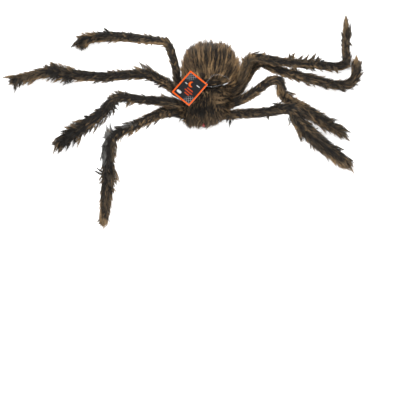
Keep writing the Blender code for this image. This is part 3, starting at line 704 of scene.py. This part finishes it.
def card_material():
    """Print the card: an orange edge, a charcoal ground, lattices, a crescent and bars."""
    material, tree, shader = principled("printed_card", Specular_IOR_Level=0.06)
    matrix = card_matrix()
    mapping = add(
        tree, "ShaderNodeMapping", vector_type="TEXTURE", Vector=on_piece(tree),
        Location=matrix.translation * MM, Rotation=matrix.to_euler(), Scale=(MM, MM, MM),
    )
    flat = mapping.outputs["Vector"]
    parts = add(tree, "ShaderNodeSeparateXYZ", Vector=flat)
    x, y, z = (parts.outputs[axis] for axis in "XYZ")
    speckle = clouds(tree, flat, 0.9, 6.0)

    slant = maths(tree, "PINGPONG", maths(tree, "ADD", x, y), LATTICE_STEP)
    counter = maths(tree, "PINGPONG", maths(tree, "SUBTRACT", x, y), LATTICE_STEP)
    lines = ease(tree, maths(tree, "MINIMUM", slant, counter), *LATTICE_LINE, 1.0, 0.0)
    corners = [(side * CARD_WIDTH / 2.0, -side * CARD_LENGTH / 2.0) for side in (-1, 1)]
    corner_gap = maths(tree, "MINIMUM", *(gap_to(tree, x, y, corner) for corner in corners))
    lattice = maths(tree, "MULTIPLY", lines, ease(tree, corner_gap, *LATTICE_REACH, 1.0, 0.0))
    moon = ease(tree, gap_to(tree, x, y, MOON_CENTRE), *MOON_RIM, 1.0, 0.0)
    moon = maths(tree, "MULTIPLY", moon, ease(tree, gap_to(tree, x, y, BITE_CENTRE), *BITE_RIM))

    inked = blend_colours(tree, speckle, CHARCOAL_INK, WORN_CHARCOAL)
    inked = blend_colours(tree, lattice, inked, PALE_INK)
    inked = blend_colours(tree, moon, inked, ORANGE_INK)
    inked = blend_colours(tree, print_bars(tree, x, y, RED_BARS), inked, RED_INK)
    inked = blend_colours(tree, print_bars(tree, x, y, WHITE_BARS), inked, WHITE_INK)

    from_side = maths(tree, "SUBTRACT", CARD_WIDTH / 2.0, maths(tree, "ABSOLUTE", x))
    from_end = maths(tree, "SUBTRACT", CARD_LENGTH / 2.0, maths(tree, "ABSOLUTE", y))
    from_edge = maths(tree, "MINIMUM", from_side, from_end)
    inked = blend_colours(tree, ease(tree, from_edge, *EDGE_BAND), ORANGE_INK, inked)
    edge = ease(tree, from_edge, *SCUFFED_EDGE, 1.0, 0.0)
    scuffed = maths(tree, "MULTIPLY", edge, ease(tree, speckle, 0.45, 0.7))
    inked = blend_colours(tree, scuffed, inked, BOARD)
    printed = ease(tree, z, CARD_THICKNESS * 0.3, CARD_THICKNESS * 0.45)
    face = blend_colours(tree, printed, BOARD, inked)
    feed(tree, shader, Base_Color=face, Roughness=ease(tree, speckle, 0.3, 0.7, 0.38, 0.55))
    return material


# The studio


def on_view(pixel, height):
    """Give the place that shows at a pixel of the photograph at a height, in millimetres."""
    rise = (ORIGIN_PIXEL[1] - pixel[1]) * PIXEL_MM
    y = (rise - height * math.cos(VIEW_ELEVATION)) / math.sin(VIEW_ELEVATION)
    return Vector(((pixel[0] - ORIGIN_PIXEL[0]) * PIXEL_MM, y, height))


def make_camera():
    """Look at the middle of the frame from far off, with no perspective."""
    middle = FRAME_PIXELS / 2.0
    aim = on_view((middle, middle), AIM_HEIGHT_MM) * MM
    data = bpy.data.cameras.new("studio_camera")
    data.type = "ORTHO"
    data.ortho_scale = FRAME_PIXELS * PIXEL_MM * MM
    data.clip_start = 0.1
    data.clip_end = CAMERA_DISTANCE * 2.0
    camera = link_new("studio_camera", data)
    camera.location = aim + TOWARDS_CAMERA * CAMERA_DISTANCE
    camera.rotation_euler = TOWARDS_CAMERA.to_track_quat("Z", "Y").to_euler()
    bpy.context.scene.camera = camera


def make_studio():
    """Light the air, hang soft square lamps and lay the pale floor."""
    scene = bpy.context.scene
    scene.view_settings.view_transform = "Standard"
    scene.view_settings.look = "None"
    scene.world = bpy.data.worlds.new("studio_air")
    scene.world.use_nodes = True
    air = scene.world.node_tree
    feed(air, air.nodes["Background"], Color=WHITE, Strength=AIR_STRENGTH)
    for name, place, size, power in LAMPS:
        data = bpy.data.lights.new(name, "AREA")
        data.shape = "SQUARE"
        data.size = size
        data.energy = power
        lamp = link_new(name, data)
        lamp.location = place
        lamp.rotation_euler = (Vector(place) - LAMP_AIM).to_track_quat("Z", "Y").to_euler()
    start_clean()
    bpy.ops.mesh.primitive_plane_add(size=FLOOR_SIZE, location=(0.0, 0.0, 0.0))
    floor = bpy.context.object
    floor.name = "studio_floor"
    floor.data.materials.append(floor_material())


# Backing cloth


def settle(mesh):
    """Put a mesh's vertices and faces in an order that their places alone decide."""
    places = np.array([vertex.co for vertex in mesh.vertices])
    order = np.argsort(places @ SORTING_WAY)
    rank = np.argsort(order)
    faces = []
    for face in mesh.polygons:
        ring = rank[list(face.vertices)].tolist()
        first = ring.index(min(ring))
        faces.append(ring[first:] + ring[:first])
    mesh.clear_geometry()
    mesh.from_pydata(places[order].tolist(), [], sorted(faces))
    mesh.update()


def loft_bag(name, sections):
    """Extrude a ring through a bag's sections, then pull it in to the cloth under the fur."""
    start_clean()
    rows = [tuple(number * MM for number in row) for row in sections]
    x, y, z, wide, high = rows[0]
    bpy.ops.mesh.primitive_circle_add(
        vertices=BAG_SIDES, radius=1.0, fill_type="NGON", location=(x, y, z), rotation=UPRIGHT
    )
    bag = bpy.context.object
    bag.name = name
    bpy.ops.object.mode_set(mode="EDIT")
    bpy.ops.transform.resize(value=(wide, 1.0, high), center_override=(x, y, z))
    for after in rows[1:]:
        step = (after[0] - x, after[1] - y, after[2] - z)
        bpy.ops.mesh.extrude_region_move(TRANSFORM_OT_translate={"value": step})
        growth = (after[3] / wide, 1.0, after[4] / high)
        x, y, z, wide, high = after
        bpy.ops.transform.resize(value=growth, center_override=(x, y, z))
    bpy.ops.mesh.select_all(action="SELECT")
    seam_middle = (rows[0][0], SEAM_Y * MM, rows[0][2])
    bpy.ops.transform.resize(value=(BAG_CLOTH_SHARE,) * 3, center_override=seam_middle)
    leave_edit()
    finish_with(bag, "SUBSURF", levels=1, render_levels=1)
    apply_place(bag)
    settle(bag.data)
    bpy.ops.object.shade_smooth()
    return bag


def sweep(name, points, radii, sides, closed=False):
    """Sweep a round section along a smooth path. Points and radii are in millimetres."""
    start_clean()
    bpy.ops.curve.primitive_nurbs_path_add()
    path = bpy.context.object
    path.name = name
    line = path.data.splines[0]
    line.points.add(len(points) - len(line.points))
    for place, point, radius in zip(line.points, points, radii):
        place.co = (*(number * MM for number in point), 1.0)
        place.radius = radius * MM
    line.order_u = 3
    line.use_cyclic_u = closed
    line.use_endpoint_u = not closed
    line.resolution_u = 6
    path.data.bevel_depth = 1.0
    path.data.bevel_resolution = sides
    path.data.use_fill_caps = not closed
    bpy.ops.object.convert(target="MESH")
    bpy.ops.object.mode_set(mode="EDIT")
    bpy.ops.mesh.select_all(action="SELECT")
    bpy.ops.mesh.remove_doubles(threshold=0.02 * MM)
    leave_edit()
    apply_place(path)
    bpy.ops.object.shade_smooth_by_angle(angle=math.radians(60.0))
    return path


def draw_sleeve(name, route, pile):
    """Sweep a leg's cloth along its route, ending short of the foot by the fur's length."""
    points = [Vector(row[:3]) for row in route]
    radii = pile.cloth[pile.at(np.array(points))]
    last = points[-1] - points[-2]
    points[-1] = points[-2] + last * max(1.0 - FUR_PAST_FOOT / last.length, 0.3)
    return sweep(name + "_skin", points, radii, LEG_CLOTH_SIDES)


# Fur


def unit(vectors):
    """Scale each row to length one."""
    return vectors / np.maximum(np.linalg.norm(vectors, axis=-1, keepdims=True), 1e-9)


def dot(a, b):
    """Give each pair of rows' dot product, as a column."""
    return (a * b).sum(-1, keepdims=True)


class Cloth:
    """The backing that fur grows on, in millimetres: it scatters roots and finds the ground."""

    def __init__(self, *pieces):
        places, normals, triangles = [], [], []
        made = 0
        for piece in pieces:
            mesh = piece.data
            mesh.calc_loop_triangles()
            places.append(np.array([v.co for v in mesh.vertices]) / MM)
            normals.append(np.array([v.normal for v in mesh.vertices]))
            triangles.append(np.array([t.vertices for t in mesh.loop_triangles]) + made)
            made += len(mesh.vertices)
        self.places, self.normals = np.concatenate(places), np.concatenate(normals)
        self.triangles = np.concatenate(triangles)
        self.tree = BVHTree.FromPolygons(self.places.tolist(), self.triangles.tolist())

    def scatter(self, density, under_share, chance):
        """Give roots at so many a square millimetre, fewer on the underside, with normals."""
        corners = self.places[self.triangles]
        spans = np.cross(corners[:, 1] - corners[:, 0], corners[:, 2] - corners[:, 0])
        sizes = np.linalg.norm(spans, axis=1)
        weights = sizes * np.where(spans[:, 2] < -0.4 * sizes, under_share, 1.0)
        count = int(density * weights.sum() / 2.0)
        picks = chance.choice(len(weights), count, p=weights / weights.sum())
        shares = chance.dirichlet((1.0, 1.0, 1.0), count)[:, :, None]
        normals = (self.normals[self.triangles[picks]] * shares).sum(1)
        return (corners[picks] * shares).sum(1), unit(normals)

    def nearest(self, points):
        """Give the nearest places on the cloth, with the smooth normals there."""
        found = [self.tree.find_nearest(point) for point in points.tolist()]
        places = np.array([hit[0] for hit in found])
        triangles = self.triangles[[hit[2] for hit in found]]
        a, b, c = (self.places[triangles[:, k]] for k in range(3))
        shares = [
            np.linalg.norm(np.cross(p - places, q - places), axis=1) for p, q in ((b, c), (c, a), (a, b))
        ]
        normals = (self.normals[triangles] * np.stack(shares, 1)[:, :, None]).sum(1)
        return places, unit(normals)

    def heights(self, points):
        """Give how far points stand outside the cloth."""
        places, normals = self.nearest(points)
        return dot(points - places, normals)[:, 0]


def spline_rows(points, steps=10):
    """Sample a leg's route as the smooth curve that its control points draw."""
    points = np.array(points, float)
    middles = (points[:-1] + points[1:]) / 2.0
    middles[0], middles[-1] = points[0], points[-1]
    shares = np.arange(steps)[:, None] / steps
    rows = []
    for before, corner, after in zip(middles, points[1:-1], middles[1:]):
        turn = 2 * shares * (1 - shares) * corner
        rows.append((1 - shares) ** 2 * before + turn + shares ** 2 * after)
    return np.vstack(rows + [points[-1:]])


class LegPile:
    """How fur lies on a leg: towards the foot, lifted where it bends, longer at its root."""

    # How much it lifts at a bend, and at most, and how strongly it parts along the top
    flare, most_flare, parting = 14.0, 0.5, 1.3
    # How far before the foot it closes in, and how strongly
    closing, close = 34.0, 0.5
    # The streaks: their share of the tone, two sizes across and along, and a turn's radius
    streaky, fine, broad, ring = 0.52, (1.5, 64.0), (6.0, 60.0), 10.0

    def __init__(self, route, coat, ruff):
        rows = spline_rows(route)
        self.ruff_length, self.ruff_gain = ruff
        self.middles = rows[:, :3]
        self.ways = unit(np.gradient(self.middles, axis=0))
        steps = np.linalg.norm(np.diff(self.middles, axis=0), axis=1)
        self.marks = np.concatenate([[0.0], np.cumsum(steps)])
        self.bends = -np.gradient(self.ways, axis=0) / np.gradient(self.marks)[:, None]
        self.sides = unit(np.cross(self.ways, (0.0, 0.0, 1.0)))
        shares, shags, widths = zip(*coat)
        self.shags = np.interp(self.marks / self.marks[-1], shares, shags)
        reach = rows[:, 3] * np.interp(self.marks / self.marks[-1], shares, widths)
        self.cloth = reach * (0.80 - 0.18 * self.shags)
        self.fur = reach * (0.46 + 0.44 * self.shags)

    def at(self, points):
        """Find the nearest row of the route for each point."""
        return ((points[:, None] - self.middles[None]) ** 2).sum(2).argmin(1)

    def flow(self, points):
        """Give the way that the fur runs: parted along the top, and closing in at the foot."""
        rows = self.at(points)
        off = unit(points - self.middles[rows])
        around = np.cross(self.ways[rows], off)
        aside = dot(off, self.sides[rows])
        way = self.ways[rows] + around * aside * (1.0 - np.abs(aside)) * self.parting
        left = (self.marks[-1] - self.marks[rows])[:, None]
        return unit(way - off * np.clip(1.0 - left / self.closing, 0.0, 1.0) * self.close)

    def growth(self, points):
        """Give how much longer the fur is there than elsewhere."""
        ruff = np.exp(-((self.marks[self.at(points)] / self.ruff_length) ** 2))
        return 1.0 + self.ruff_gain * ruff

    def depth(self, points, normals):
        """Give how high over the cloth the tips stand."""
        rows = self.at(points)
        flare = np.clip(dot(self.bends[rows], normals)[:, 0] * self.flare, 0.0, self.most_flare)
        return self.fur[rows] * (1.0 + flare)

    def shag(self, points):
        """Give how shaggy the coat is, from 0 to 1."""
        return self.shags[self.at(points)]

    def streak_places(self, points):
        """Give each strand's place across and along the streaks, in millimetres."""
        rows = self.at(points)
        off = points - self.middles[rows]
        sides = self.sides[rows]
        turn = np.arctan2(dot(off, sides)[:, 0], dot(off, np.cross(sides, self.ways[rows]))[:, 0])
        return turn * self.ring, self.marks[rows]


class BagPile:
    """How fur lies on a bag: away from the seam, fanning out, and shorter at the far end."""

    # The streaks: their share of the tone, and two sizes across and along
    streaky, fine, broad = 0.42, (1.1, 44.0), (6.5, 46.0)

    def __init__(self, middle, size, run, fan, drop, depth, cropped, shag):
        self.middle, self.size = np.array(middle, float), np.array(size, float)
        self.run, self.fan, self.drop, self.reach = run, fan, drop, depth
        self.cropped, self.shag_level = cropped, shag
        self.pulls = ()

    def flow(self, points):
        """Give the way that the fur runs, turned along a leg where the leg comes out."""
        off = (points - self.middle) / self.size
        way = unit(off * (self.fan, 0.0, 0.0) + (0.0, self.run, self.drop))
        for place, direction, reach in self.pulls:
            share = np.exp(-((points - place) ** 2).sum(1, keepdims=True) / reach ** 2)
            way = way + LEG_PULL * share * direction
        return unit(way)

    def growth(self, points):
        """Give how long the fur is there, as a share of its most."""
        start, end, loss = self.cropped
        return 1.0 - loss * np.clip((points[:, 1] - start) / (end - start), 0.0, 1.0)

    def depth(self, points, normals):
        """Give how high over the cloth the tips stand."""
        return np.full(len(points), self.reach)

    def shag(self, points):
        """Give how shaggy the coat is, from 0 to 1."""
        return np.full(len(points), self.shag_level)

    def streak_places(self, points):
        """Give each strand's place across and along the fanned streaks, in millimetres."""
        off = points - self.middle
        spread = np.exp(-self.fan * off[:, 1] / (self.size[0] * self.run))
        turn = np.arctan2(off[:, 0] * spread, off[:, 2] + 10.0)
        return turn * self.size[0], off[:, 1]


def streaks(places, size, chance):
    """Give smooth noise from 0 to 1, in cells of a size across and along the fur."""
    cells = 64
    table = chance.random((cells, cells))
    across, along = places[0] / size[0], places[1] / size[1]
    i, j = np.floor(across).astype(int), np.floor(along).astype(int)
    s, t = across - i, along - j
    s, t = s * s * (3 - 2 * s), t * t * (3 - 2 * t)
    near = table[i % cells, j % cells] * (1 - s) + table[(i + 1) % cells, j % cells] * s
    far = table[i % cells, (j + 1) % cells] * (1 - s) + table[(i + 1) % cells, (j + 1) % cells] * s
    return near * (1 - t) + far * t


def tint(tones, places, patches):
    """Shift strands' tones towards those of the patches that they show in."""
    u = ORIGIN_PIXEL[0] + places[:, 0] / PIXEL_MM
    rise = places[:, 1] * math.sin(VIEW_ELEVATION) + places[:, 2] * math.cos(VIEW_ELEVATION)
    v = ORIGIN_PIXEL[1] - rise / PIXEL_MM
    for across, down, half_wide, half_high, tone, strength in patches:
        gap = ((u - across) / half_wide) ** 2 + ((v - down) / half_high) ** 2
        share = strength * np.clip(PATCH_CORE * (1.0 - gap), 0.0, 1.0)
        shift = (tone - MIDDLE_TONE) * PATCH_SHIFT + (tone - tones) * PATCH_LEVELLING
        shifted = tones + shift * share
        # Only a patch of the lowest tones reaches the grey painted sheen; any other stays at the darkest
        # tone or over.
        shifted = np.clip(shifted, DARKEST if tone > PAINTED_SHEEN_TOP else 0.0, 1.0)
        tones = np.where(share > 0.0, shifted, tones)
    return tones


def comb(cloth, pile, roots, normals, lengths, depths, yaws, steps):
    """Lay strands over the cloth, step by step, each stop pressed to its height over it."""
    stops = [roots - normals * ROOT_DEPTH]
    here, lift = roots, normals
    for step in range(1, steps + 1):
        way = pile.flow(here)
        way = way * np.cos(yaws)[:, None] + np.cross(lift, way) * np.sin(yaws)[:, None]
        way = unit(way - lift * dot(way, lift) * COMBED_FLAT)
        ahead = here + way * (lengths / steps)[:, None]
        ground, normal = cloth.nearest(ahead)
        lift = unit(normal - way * dot(normal, way) + lift * KEPT_LIFT)
        beyond = np.maximum(dot(ahead - ground, way), 0.0)
        height = depths * (step / steps) ** EARLY_RISE
        here = ground + way * beyond + lift * height[:, None]
        stops.append(here)
    return np.stack(stops, 1)


def keep_clear(points):
    """Hold strands above the floor, and down under the card that lies on them."""
    matrix = np.array(card_matrix())
    flat = (points - matrix[:3, 3]) @ matrix[:3, :3]
    reach = np.array([CARD_WIDTH, CARD_LENGTH]) / 2.0 + CARD_MARGIN
    within = (np.abs(flat[..., :2]) < reach).all(-1)
    over = np.where(within, np.maximum(flat[..., 2] + UNDER_CARD_GAP, 0.0), 0.0)
    pressed = points - over[..., None] * matrix[:3, 2]
    pressed[..., 2] = np.maximum(pressed[..., 2], FLOOR_GAP)
    return pressed


def strand_corners(paths, ups, widths):
    """Give each strand's corners: a ring of three at its root or its middle, and its ends."""
    ways = unit(paths[:, -1] - paths[:, 0])
    across = unit(np.cross(ways, ups))
    ups = np.cross(across, ways)
    ring = np.stack([-0.5 * across - 0.12 * ups, 0.5 * across - 0.12 * ups, 0.26 * ups], 1)
    ring = paths[:, -2, None] + ring * widths[:, None, None]
    ends = paths[:, -1:]
    if paths.shape[1] == 2:
        return np.concatenate([ring, ends], 1), SPIKE_FACES
    return np.concatenate([paths[:, :1], ring, ends], 1), SPINDLE_FACES


def strand_mesh(name, batches):
    """Make one mesh of closed three-sided strands. Each batch is (paths, ups, widths, tones)."""
    places, loops, uvs = [], [], []
    made = 0
    for paths, ups, widths, tones in batches:
        corners, faces = strand_corners(paths, ups, widths)
        count, per = corners.shape[:2]
        order, rise = (np.array(part).ravel() for part in zip(*faces))
        places.append(corners.reshape(-1, 3))
        loops.append((made + per * np.arange(count)[:, None] + order[None]).ravel())
        across = 0.02 + 0.96 * tones[:, None] + np.tile((-0.006, 0.006, 0.0), len(faces))[None]
        uvs.append(np.stack([across, np.broadcast_to(rise, across.shape)], 2).reshape(-1, 2))
        made += per * count
    places, loops, uvs = (np.concatenate(rows) for rows in (places, loops, uvs))
    mesh = bpy.data.meshes.new(name)
    mesh.vertices.add(len(places))
    mesh.vertices.foreach_set("co", (places * MM).astype(np.float32).ravel())
    mesh.loops.add(len(loops))
    mesh.loops.foreach_set("vertex_index", loops.astype(np.int32))
    mesh.polygons.add(len(loops) // 3)
    mesh.polygons.foreach_set("loop_start", np.arange(0, len(loops), 3, dtype=np.int32))
    mesh.update(calc_edges=True)
    mesh.validate()
    layer = mesh.uv_layers.new(name=STRAND_MAP)
    layer.data.foreach_set("uv", np.clip(uvs, 0.0, 1.0).astype(np.float32).ravel())
    mesh.shade_smooth()
    return link_new(name, mesh)


def nearest_leader(points, leaders):
    """Give the nearest leader's number for each root."""
    specks = leaders.repeat(3, 0) + np.tile(np.eye(3) * 0.01, (len(leaders), 1))
    tree = BVHTree.FromPolygons(specks.tolist(), np.arange(len(specks)).reshape(-1, 3).tolist())
    return np.array([tree.find_nearest(point)[2] for point in points.tolist()])


def grow(cloth, ground, pile, keep, fur, patches, chance):
    """Grow one layer of fur as a batch of strands. Each lock shares its leader's draws."""
    roots, normals = cloth.scatter(fur.density, fur.under, chance)
    kept = keep(roots, normals)
    roots, normals = roots[kept], normals[kept]
    count = len(roots)
    leaders = np.arange(0, count, fur.per_lock)
    lock = nearest_leader(roots, roots[leaders])
    locks = len(leaders)
    shag = pile.shag(roots)
    growth = pile.growth(roots)
    lengths = fur.length * chance.uniform(0.75, 1.2, locks)[lock] * chance.uniform(0.7, 1.12, count)
    flank = 1.0 - np.abs(normals[:, 2])
    chances = fur.proud * (0.4 + 1.2 * shag) * (0.3 + 1.1 * flank)
    proud = (chance.random(locks) < chances[leaders]).astype(float)[lock]
    lifts = chance.uniform(0.3, 0.65, locks)[lock]
    lifts += proud * chance.uniform(0.4, 0.7, locks)[lock] / np.maximum(growth, 1.0) ** 2
    lengths *= 1.0 - 0.25 * proud
    depths = pile.depth(roots, normals) * lifts * fur.lift * chance.uniform(0.85, 1.05, count)
    stray = chance.random(count) < fur.stray
    lengths[stray] *= 1.25
    depths[stray] *= 1.3
    sway = fur.sway * (0.7 + 0.9 * shag)
    yaws = chance.normal(0.0, 1.0, locks)[lock] * sway + chance.normal(0.0, 0.08, count)
    yaws[stray] *= 2.0
    lengths *= (0.5 + 0.5 * growth) * (1.0 - 0.12 * shag)
    depths *= growth
    paths = comb(ground, pile, roots, normals, lengths, depths, yaws, fur.steps)
    led = paths[leaders][lock]
    shares = np.linspace(0.0, 1.0, fur.steps + 1)[None, :] ** 1.3
    shares = shares * np.where(stray, 0.2, fur.clump - 0.04 * proud)[:, None]
    paths = paths + (led - paths) * shares[:, :, None]
    widths = fur.width * chance.uniform(0.75, 1.2, count) * (1.0 + 0.4 * proud)
    middles = paths[:, 0] * 0.3 + paths[:, -1] * 0.7
    places = pile.streak_places(middles)
    streak = pile.streaky * streaks(places, pile.fine, chance) + 0.12 * streaks(places, pile.broad, chance)
    of_lock = fur.by_lock * chance.random(locks) + 0.06 * proud[leaders]
    mixed = streak + of_lock[lock] + (0.88 - pile.streaky - fur.by_lock) * chance.random(count)
    # Flanks are painted lighter, and tops and undersides darker, as light shining through the hair at the
    # sides.
    tones = (mixed - 0.5) * fur.contrast + fur.tone + (flank - 0.5) * fur.gilt_sides
    tones = tint(np.clip(tones, DARKEST, 1.0), middles, patches)
    return keep_clear(paths), normals, widths, np.clip(tones, 0.0, 1.0)


def root_at(cloth, pixel):
    """Find the place on the cloth that shows at a pixel, or the nearest to it in the view."""
    eye = on_view(pixel, 50.0) + TOWARDS_CAMERA * 500.0
    hit = cloth.tree.ray_cast(eye, -TOWARDS_CAMERA)[0]
    if hit is None:
        found = [cloth.tree.find_nearest(on_view(pixel, height)) for height in range(5, 145, 5)]
        hit = min(found, key=lambda near: near[3])[0]
    return np.array(hit)


def grow_tuft(cloth, pile, tuft, width, chance):
    """Grow a pointed lock of a few wisps, rooted on the cloth, with its tip at a pixel."""
    pixels_wide, tone, rise = (*tuft[4:], 0)[:3]
    root = root_at(cloth, tuft[2:4])
    tip = np.array(on_view(tuft[:2], max(root[2] + rise, LOWEST_TIP)))
    reach = tip - root
    length = np.linalg.norm(reach)
    wide = pixels_wide * PIXEL_MM
    count = int(pixels_wide * TUFT_STRANDS_PER_PIXEL)
    line = pile.flow(root[None])[0] * 0.4 + reach / length * 0.6
    back = line * length * chance.uniform(-0.6, 0.3, (count, 1))
    roots, normals = cloth.nearest(root + back + chance.normal(0.0, wide * 0.3, (count, 3)))
    side = unit(np.cross(reach, np.array(TOWARDS_CAMERA))) * wide
    wisps = 2 + int(pixels_wide / 1.5)
    asides = np.append(0.0, chance.uniform(-0.32, 0.32, wisps - 1))
    falls = np.append(-0.15, chance.uniform(0.0, 0.35, wisps - 1))
    picks = np.maximum(chance.integers(-1, wisps, count), 0)
    aims = tip + side * asides[picks][:, None] - reach * falls[picks][:, None]
    short = chance.random(count) ** 2 * 0.55
    spread = chance.normal(0.0, 1.0, (count, 3)) * (0.3 + short * wide * 0.3)[:, None]
    tips = aims - (aims - roots) * short[:, None] + spread
    middles = roots * 0.5 + tips * 0.5 + normals * (1.5 + 0.06 * length)
    paths = np.stack([roots - normals * ROOT_DEPTH, middles, tips], 1)
    tones = tone + chance.normal(0.0, 0.2, count)
    # A tuft of the lowest tones stays grey, a painted sheen.
    tones = np.clip(tones, DARKEST, 1.0) if tone > PAINTED_SHEEN_TOP else np.clip(tones * 0.5, 0.0, 0.12)
    return keep_clear(paths), normals, width * chance.uniform(1.1, 1.6, count), tones


def outside_of(*cloths):
    """Make a test that keeps the roots that lie outside other pieces' cloth."""
    def keep(roots, normals):
        return np.all([cloth.heights(roots) > BURIED for cloth in cloths], axis=0)
    return keep


def clear_of_seam(roots, normals):
    """Keep the roots that don't lie on the flat ends that face each other at the seam."""
    return (np.abs(roots[:, 1] - SEAM_Y) > 2.0) | (np.abs(normals[:, 1]) < 0.6)


def near_seam(roots, normals):
    """Keep the roots beside the seam, off the flat ends."""
    return (np.abs(roots[:, 1] - SEAM_Y) < 14.0) & (np.abs(normals[:, 1]) < 0.75)


def lay_piles():
    """Say how the fur lies on every furry piece."""
    piles = {}
    leg_pulls = []
    for name, route in LEG_ROUTES.items():
        pile = LegPile(route, LEG_COATS[name], RUFFS.get(name, PLAIN_RUFF))
        row = int(np.searchsorted(pile.marks, LEG_PULL_REACH))
        leg_pulls.append((pile.middles[row], pile.ways[row], LEG_PULL_REACH))
        piles[name] = pile
    piles["abdomen"] = BagPile(
        (0, -20, 52), (65, 90, 60), run=1.0, fan=0.45, drop=-0.12, depth=11.0,
        cropped=(20, 62, 0.48), shag=0.2,
    )
    piles["head"] = BagPile(
        (-8, -80, 44), (52, 60, 46), run=-1.0, fan=0.8, drop=-0.35, depth=10.5,
        cropped=(-75, -115, 0.45), shag=0.4,
    )
    piles["head"].pulls = leg_pulls
    return piles


def make_fur():
    """Grow the fur of every furry piece on its backing cloth: its layers, then its tufts."""
    palette = make_fur_palette()
    backing = cloth_material()
    finishes = {kind: fur_material(kind + "_fur", palette, FUR_COLOURS[kind]) for kind in FUR_COLOURS}
    layers = {
        "abdomen": (ABDOMEN_UNDERFUR, ABDOMEN_FUR, SEAM_FUR),
        "head": (HEAD_UNDERFUR, HEAD_FUR, SEAM_FUR),
        "leg": (LEG_UNDERFUR, LEG_FUR),
    }
    piles = lay_piles()
    skins = {
        "abdomen": loft_bag("abdomen_skin", ABDOMEN_SECTIONS),
        "head": loft_bag("head_skin", HEAD_SECTIONS),
    }
    for name, route in LEG_ROUTES.items():
        skins[name] = draw_sleeve(name, route, piles[name])
    cloths = {name: Cloth(skin) for name, skin in skins.items()}
    head_ground = Cloth(*(skin for name, skin in skins.items() if name != "abdomen"))
    for place, (name, skin) in enumerate(skins.items()):
        kind = "leg" if name in LEG_ROUTES else name
        chance = np.random.default_rng((LEG_SEED if kind == "leg" else BAG_SEED) + place)
        cloth, pile = cloths[name], piles[name]
        keep = outside_of(cloths["abdomen"], cloths["head"]) if kind == "leg" else clear_of_seam
        ground = head_ground if kind == "head" else cloth
        batches = []
        for layer in layers[kind]:
            kept = near_seam if layer is SEAM_FUR else keep
            batches.append(grow(cloth, ground, pile, kept, layer, PATCHES[name], chance))
        width = layers[kind][1].width
        batches += [grow_tuft(cloth, pile, tuft, width, chance) for tuft in TUFTS[name]]
        fur = strand_mesh(name + "_fur", batches)
        dress(skin, backing, kind + "_fur", name)
        dress(fur, finishes[kind], kind + "_fur", name)


# Eyes, card and loop


def make_eye(name, centre, finish):
    """Shape a bead with a flat-backed stem that goes into the head."""
    start_clean()
    place = Vector(centre) * MM
    bpy.ops.mesh.primitive_uv_sphere_add(
        segments=24, ring_count=14, radius=EYE_RADIUS * MM, location=place, rotation=UPRIGHT
    )
    eye = bpy.context.object
    eye.name = name + "_bead"
    apply_place(eye)
    pick_faces(eye, lambda normal: normal.y > EYE_BACK_SLOPE)
    back = place + Vector((0.0, EYE_RADIUS * 0.8 * MM, 0.0))
    bpy.ops.transform.resize(value=(1.0, 0.0, 1.0), center_override=back)
    bpy.ops.mesh.inset(thickness=0.7 * MM, depth=0.0)
    bpy.ops.mesh.extrude_region_move(TRANSFORM_OT_translate={"value": (0.0, STEM_LENGTH * MM, 0.0)})
    bpy.ops.mesh.select_all(action="SELECT")
    bpy.ops.transform.resize(value=(1.0, EYE_FLATTENING, 1.0), center_override=place)
    leave_edit()
    bpy.ops.object.shade_smooth_by_angle(angle=CREASE)
    dress(eye, finish, "eye_plastic", name)


def make_loop():
    """Sweep the nylon loop through the card's hole, and put the lock on its two ends."""
    matrix = card_matrix()
    inset = CARD_HOLE_INSET
    hole = matrix @ Vector((CARD_WIDTH / 2.0 - inset, CARD_LENGTH / 2.0 - inset, 0.0))
    through = matrix.to_3x3() @ Vector((0.0, 0.0, LOOP_THREAD))
    points = [hole - through, hole + through] + [Vector(point) for point in LOOP_ROUTE]
    thread = sweep("loop_thread", points, [LOOP_RADIUS] * len(points), 2, closed=True)
    dress(thread, nylon_material("clear_nylon", 0.8), "tag_loop", "tag_loop")
    way = Vector(LOOP_ROUTE[4]) - Vector(LOOP_ROUTE[6])
    start_clean()
    bpy.ops.mesh.primitive_cylinder_add(
        vertices=14, radius=LOCK_RADIUS * MM, depth=LOCK_LENGTH * MM,
        location=Vector(LOCK_CENTRE) * MM, rotation=way.to_track_quat("Z", "Y").to_euler(),
    )
    lock = bpy.context.object
    lock.name = "loop_lock"
    pick_faces(lock, lambda normal: abs(normal.z) > 0.9)
    bpy.ops.mesh.inset(thickness=0.2 * MM, depth=0.4 * MM)
    bpy.ops.mesh.inset(thickness=0.2 * MM, depth=-0.5 * MM)
    bpy.ops.object.mode_set(mode="OBJECT")
    finish_with(lock, "BEVEL", width=0.08 * MM, segments=2)
    apply_place(lock)
    bpy.ops.object.shade_smooth_by_angle(angle=CREASE)
    # The lock is less clear and whiter, partly its own milky plastic and partly a painted glint.
    dress(lock, nylon_material("milky_nylon_painted_glint", 0.2), "tag_loop", "tag_loop")


def make_trimmings():
    """Make the bead eyes and the loop, and print the card."""
    bead = bead_material()
    for name, centre in EYES.items():
        make_eye(name, centre, bead)
    make_loop()
    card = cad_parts["tag_card"]
    card.data.materials.clear()
    card.data.materials.append(card_material())


make_camera()
make_studio()
make_fur()
make_trimmings()
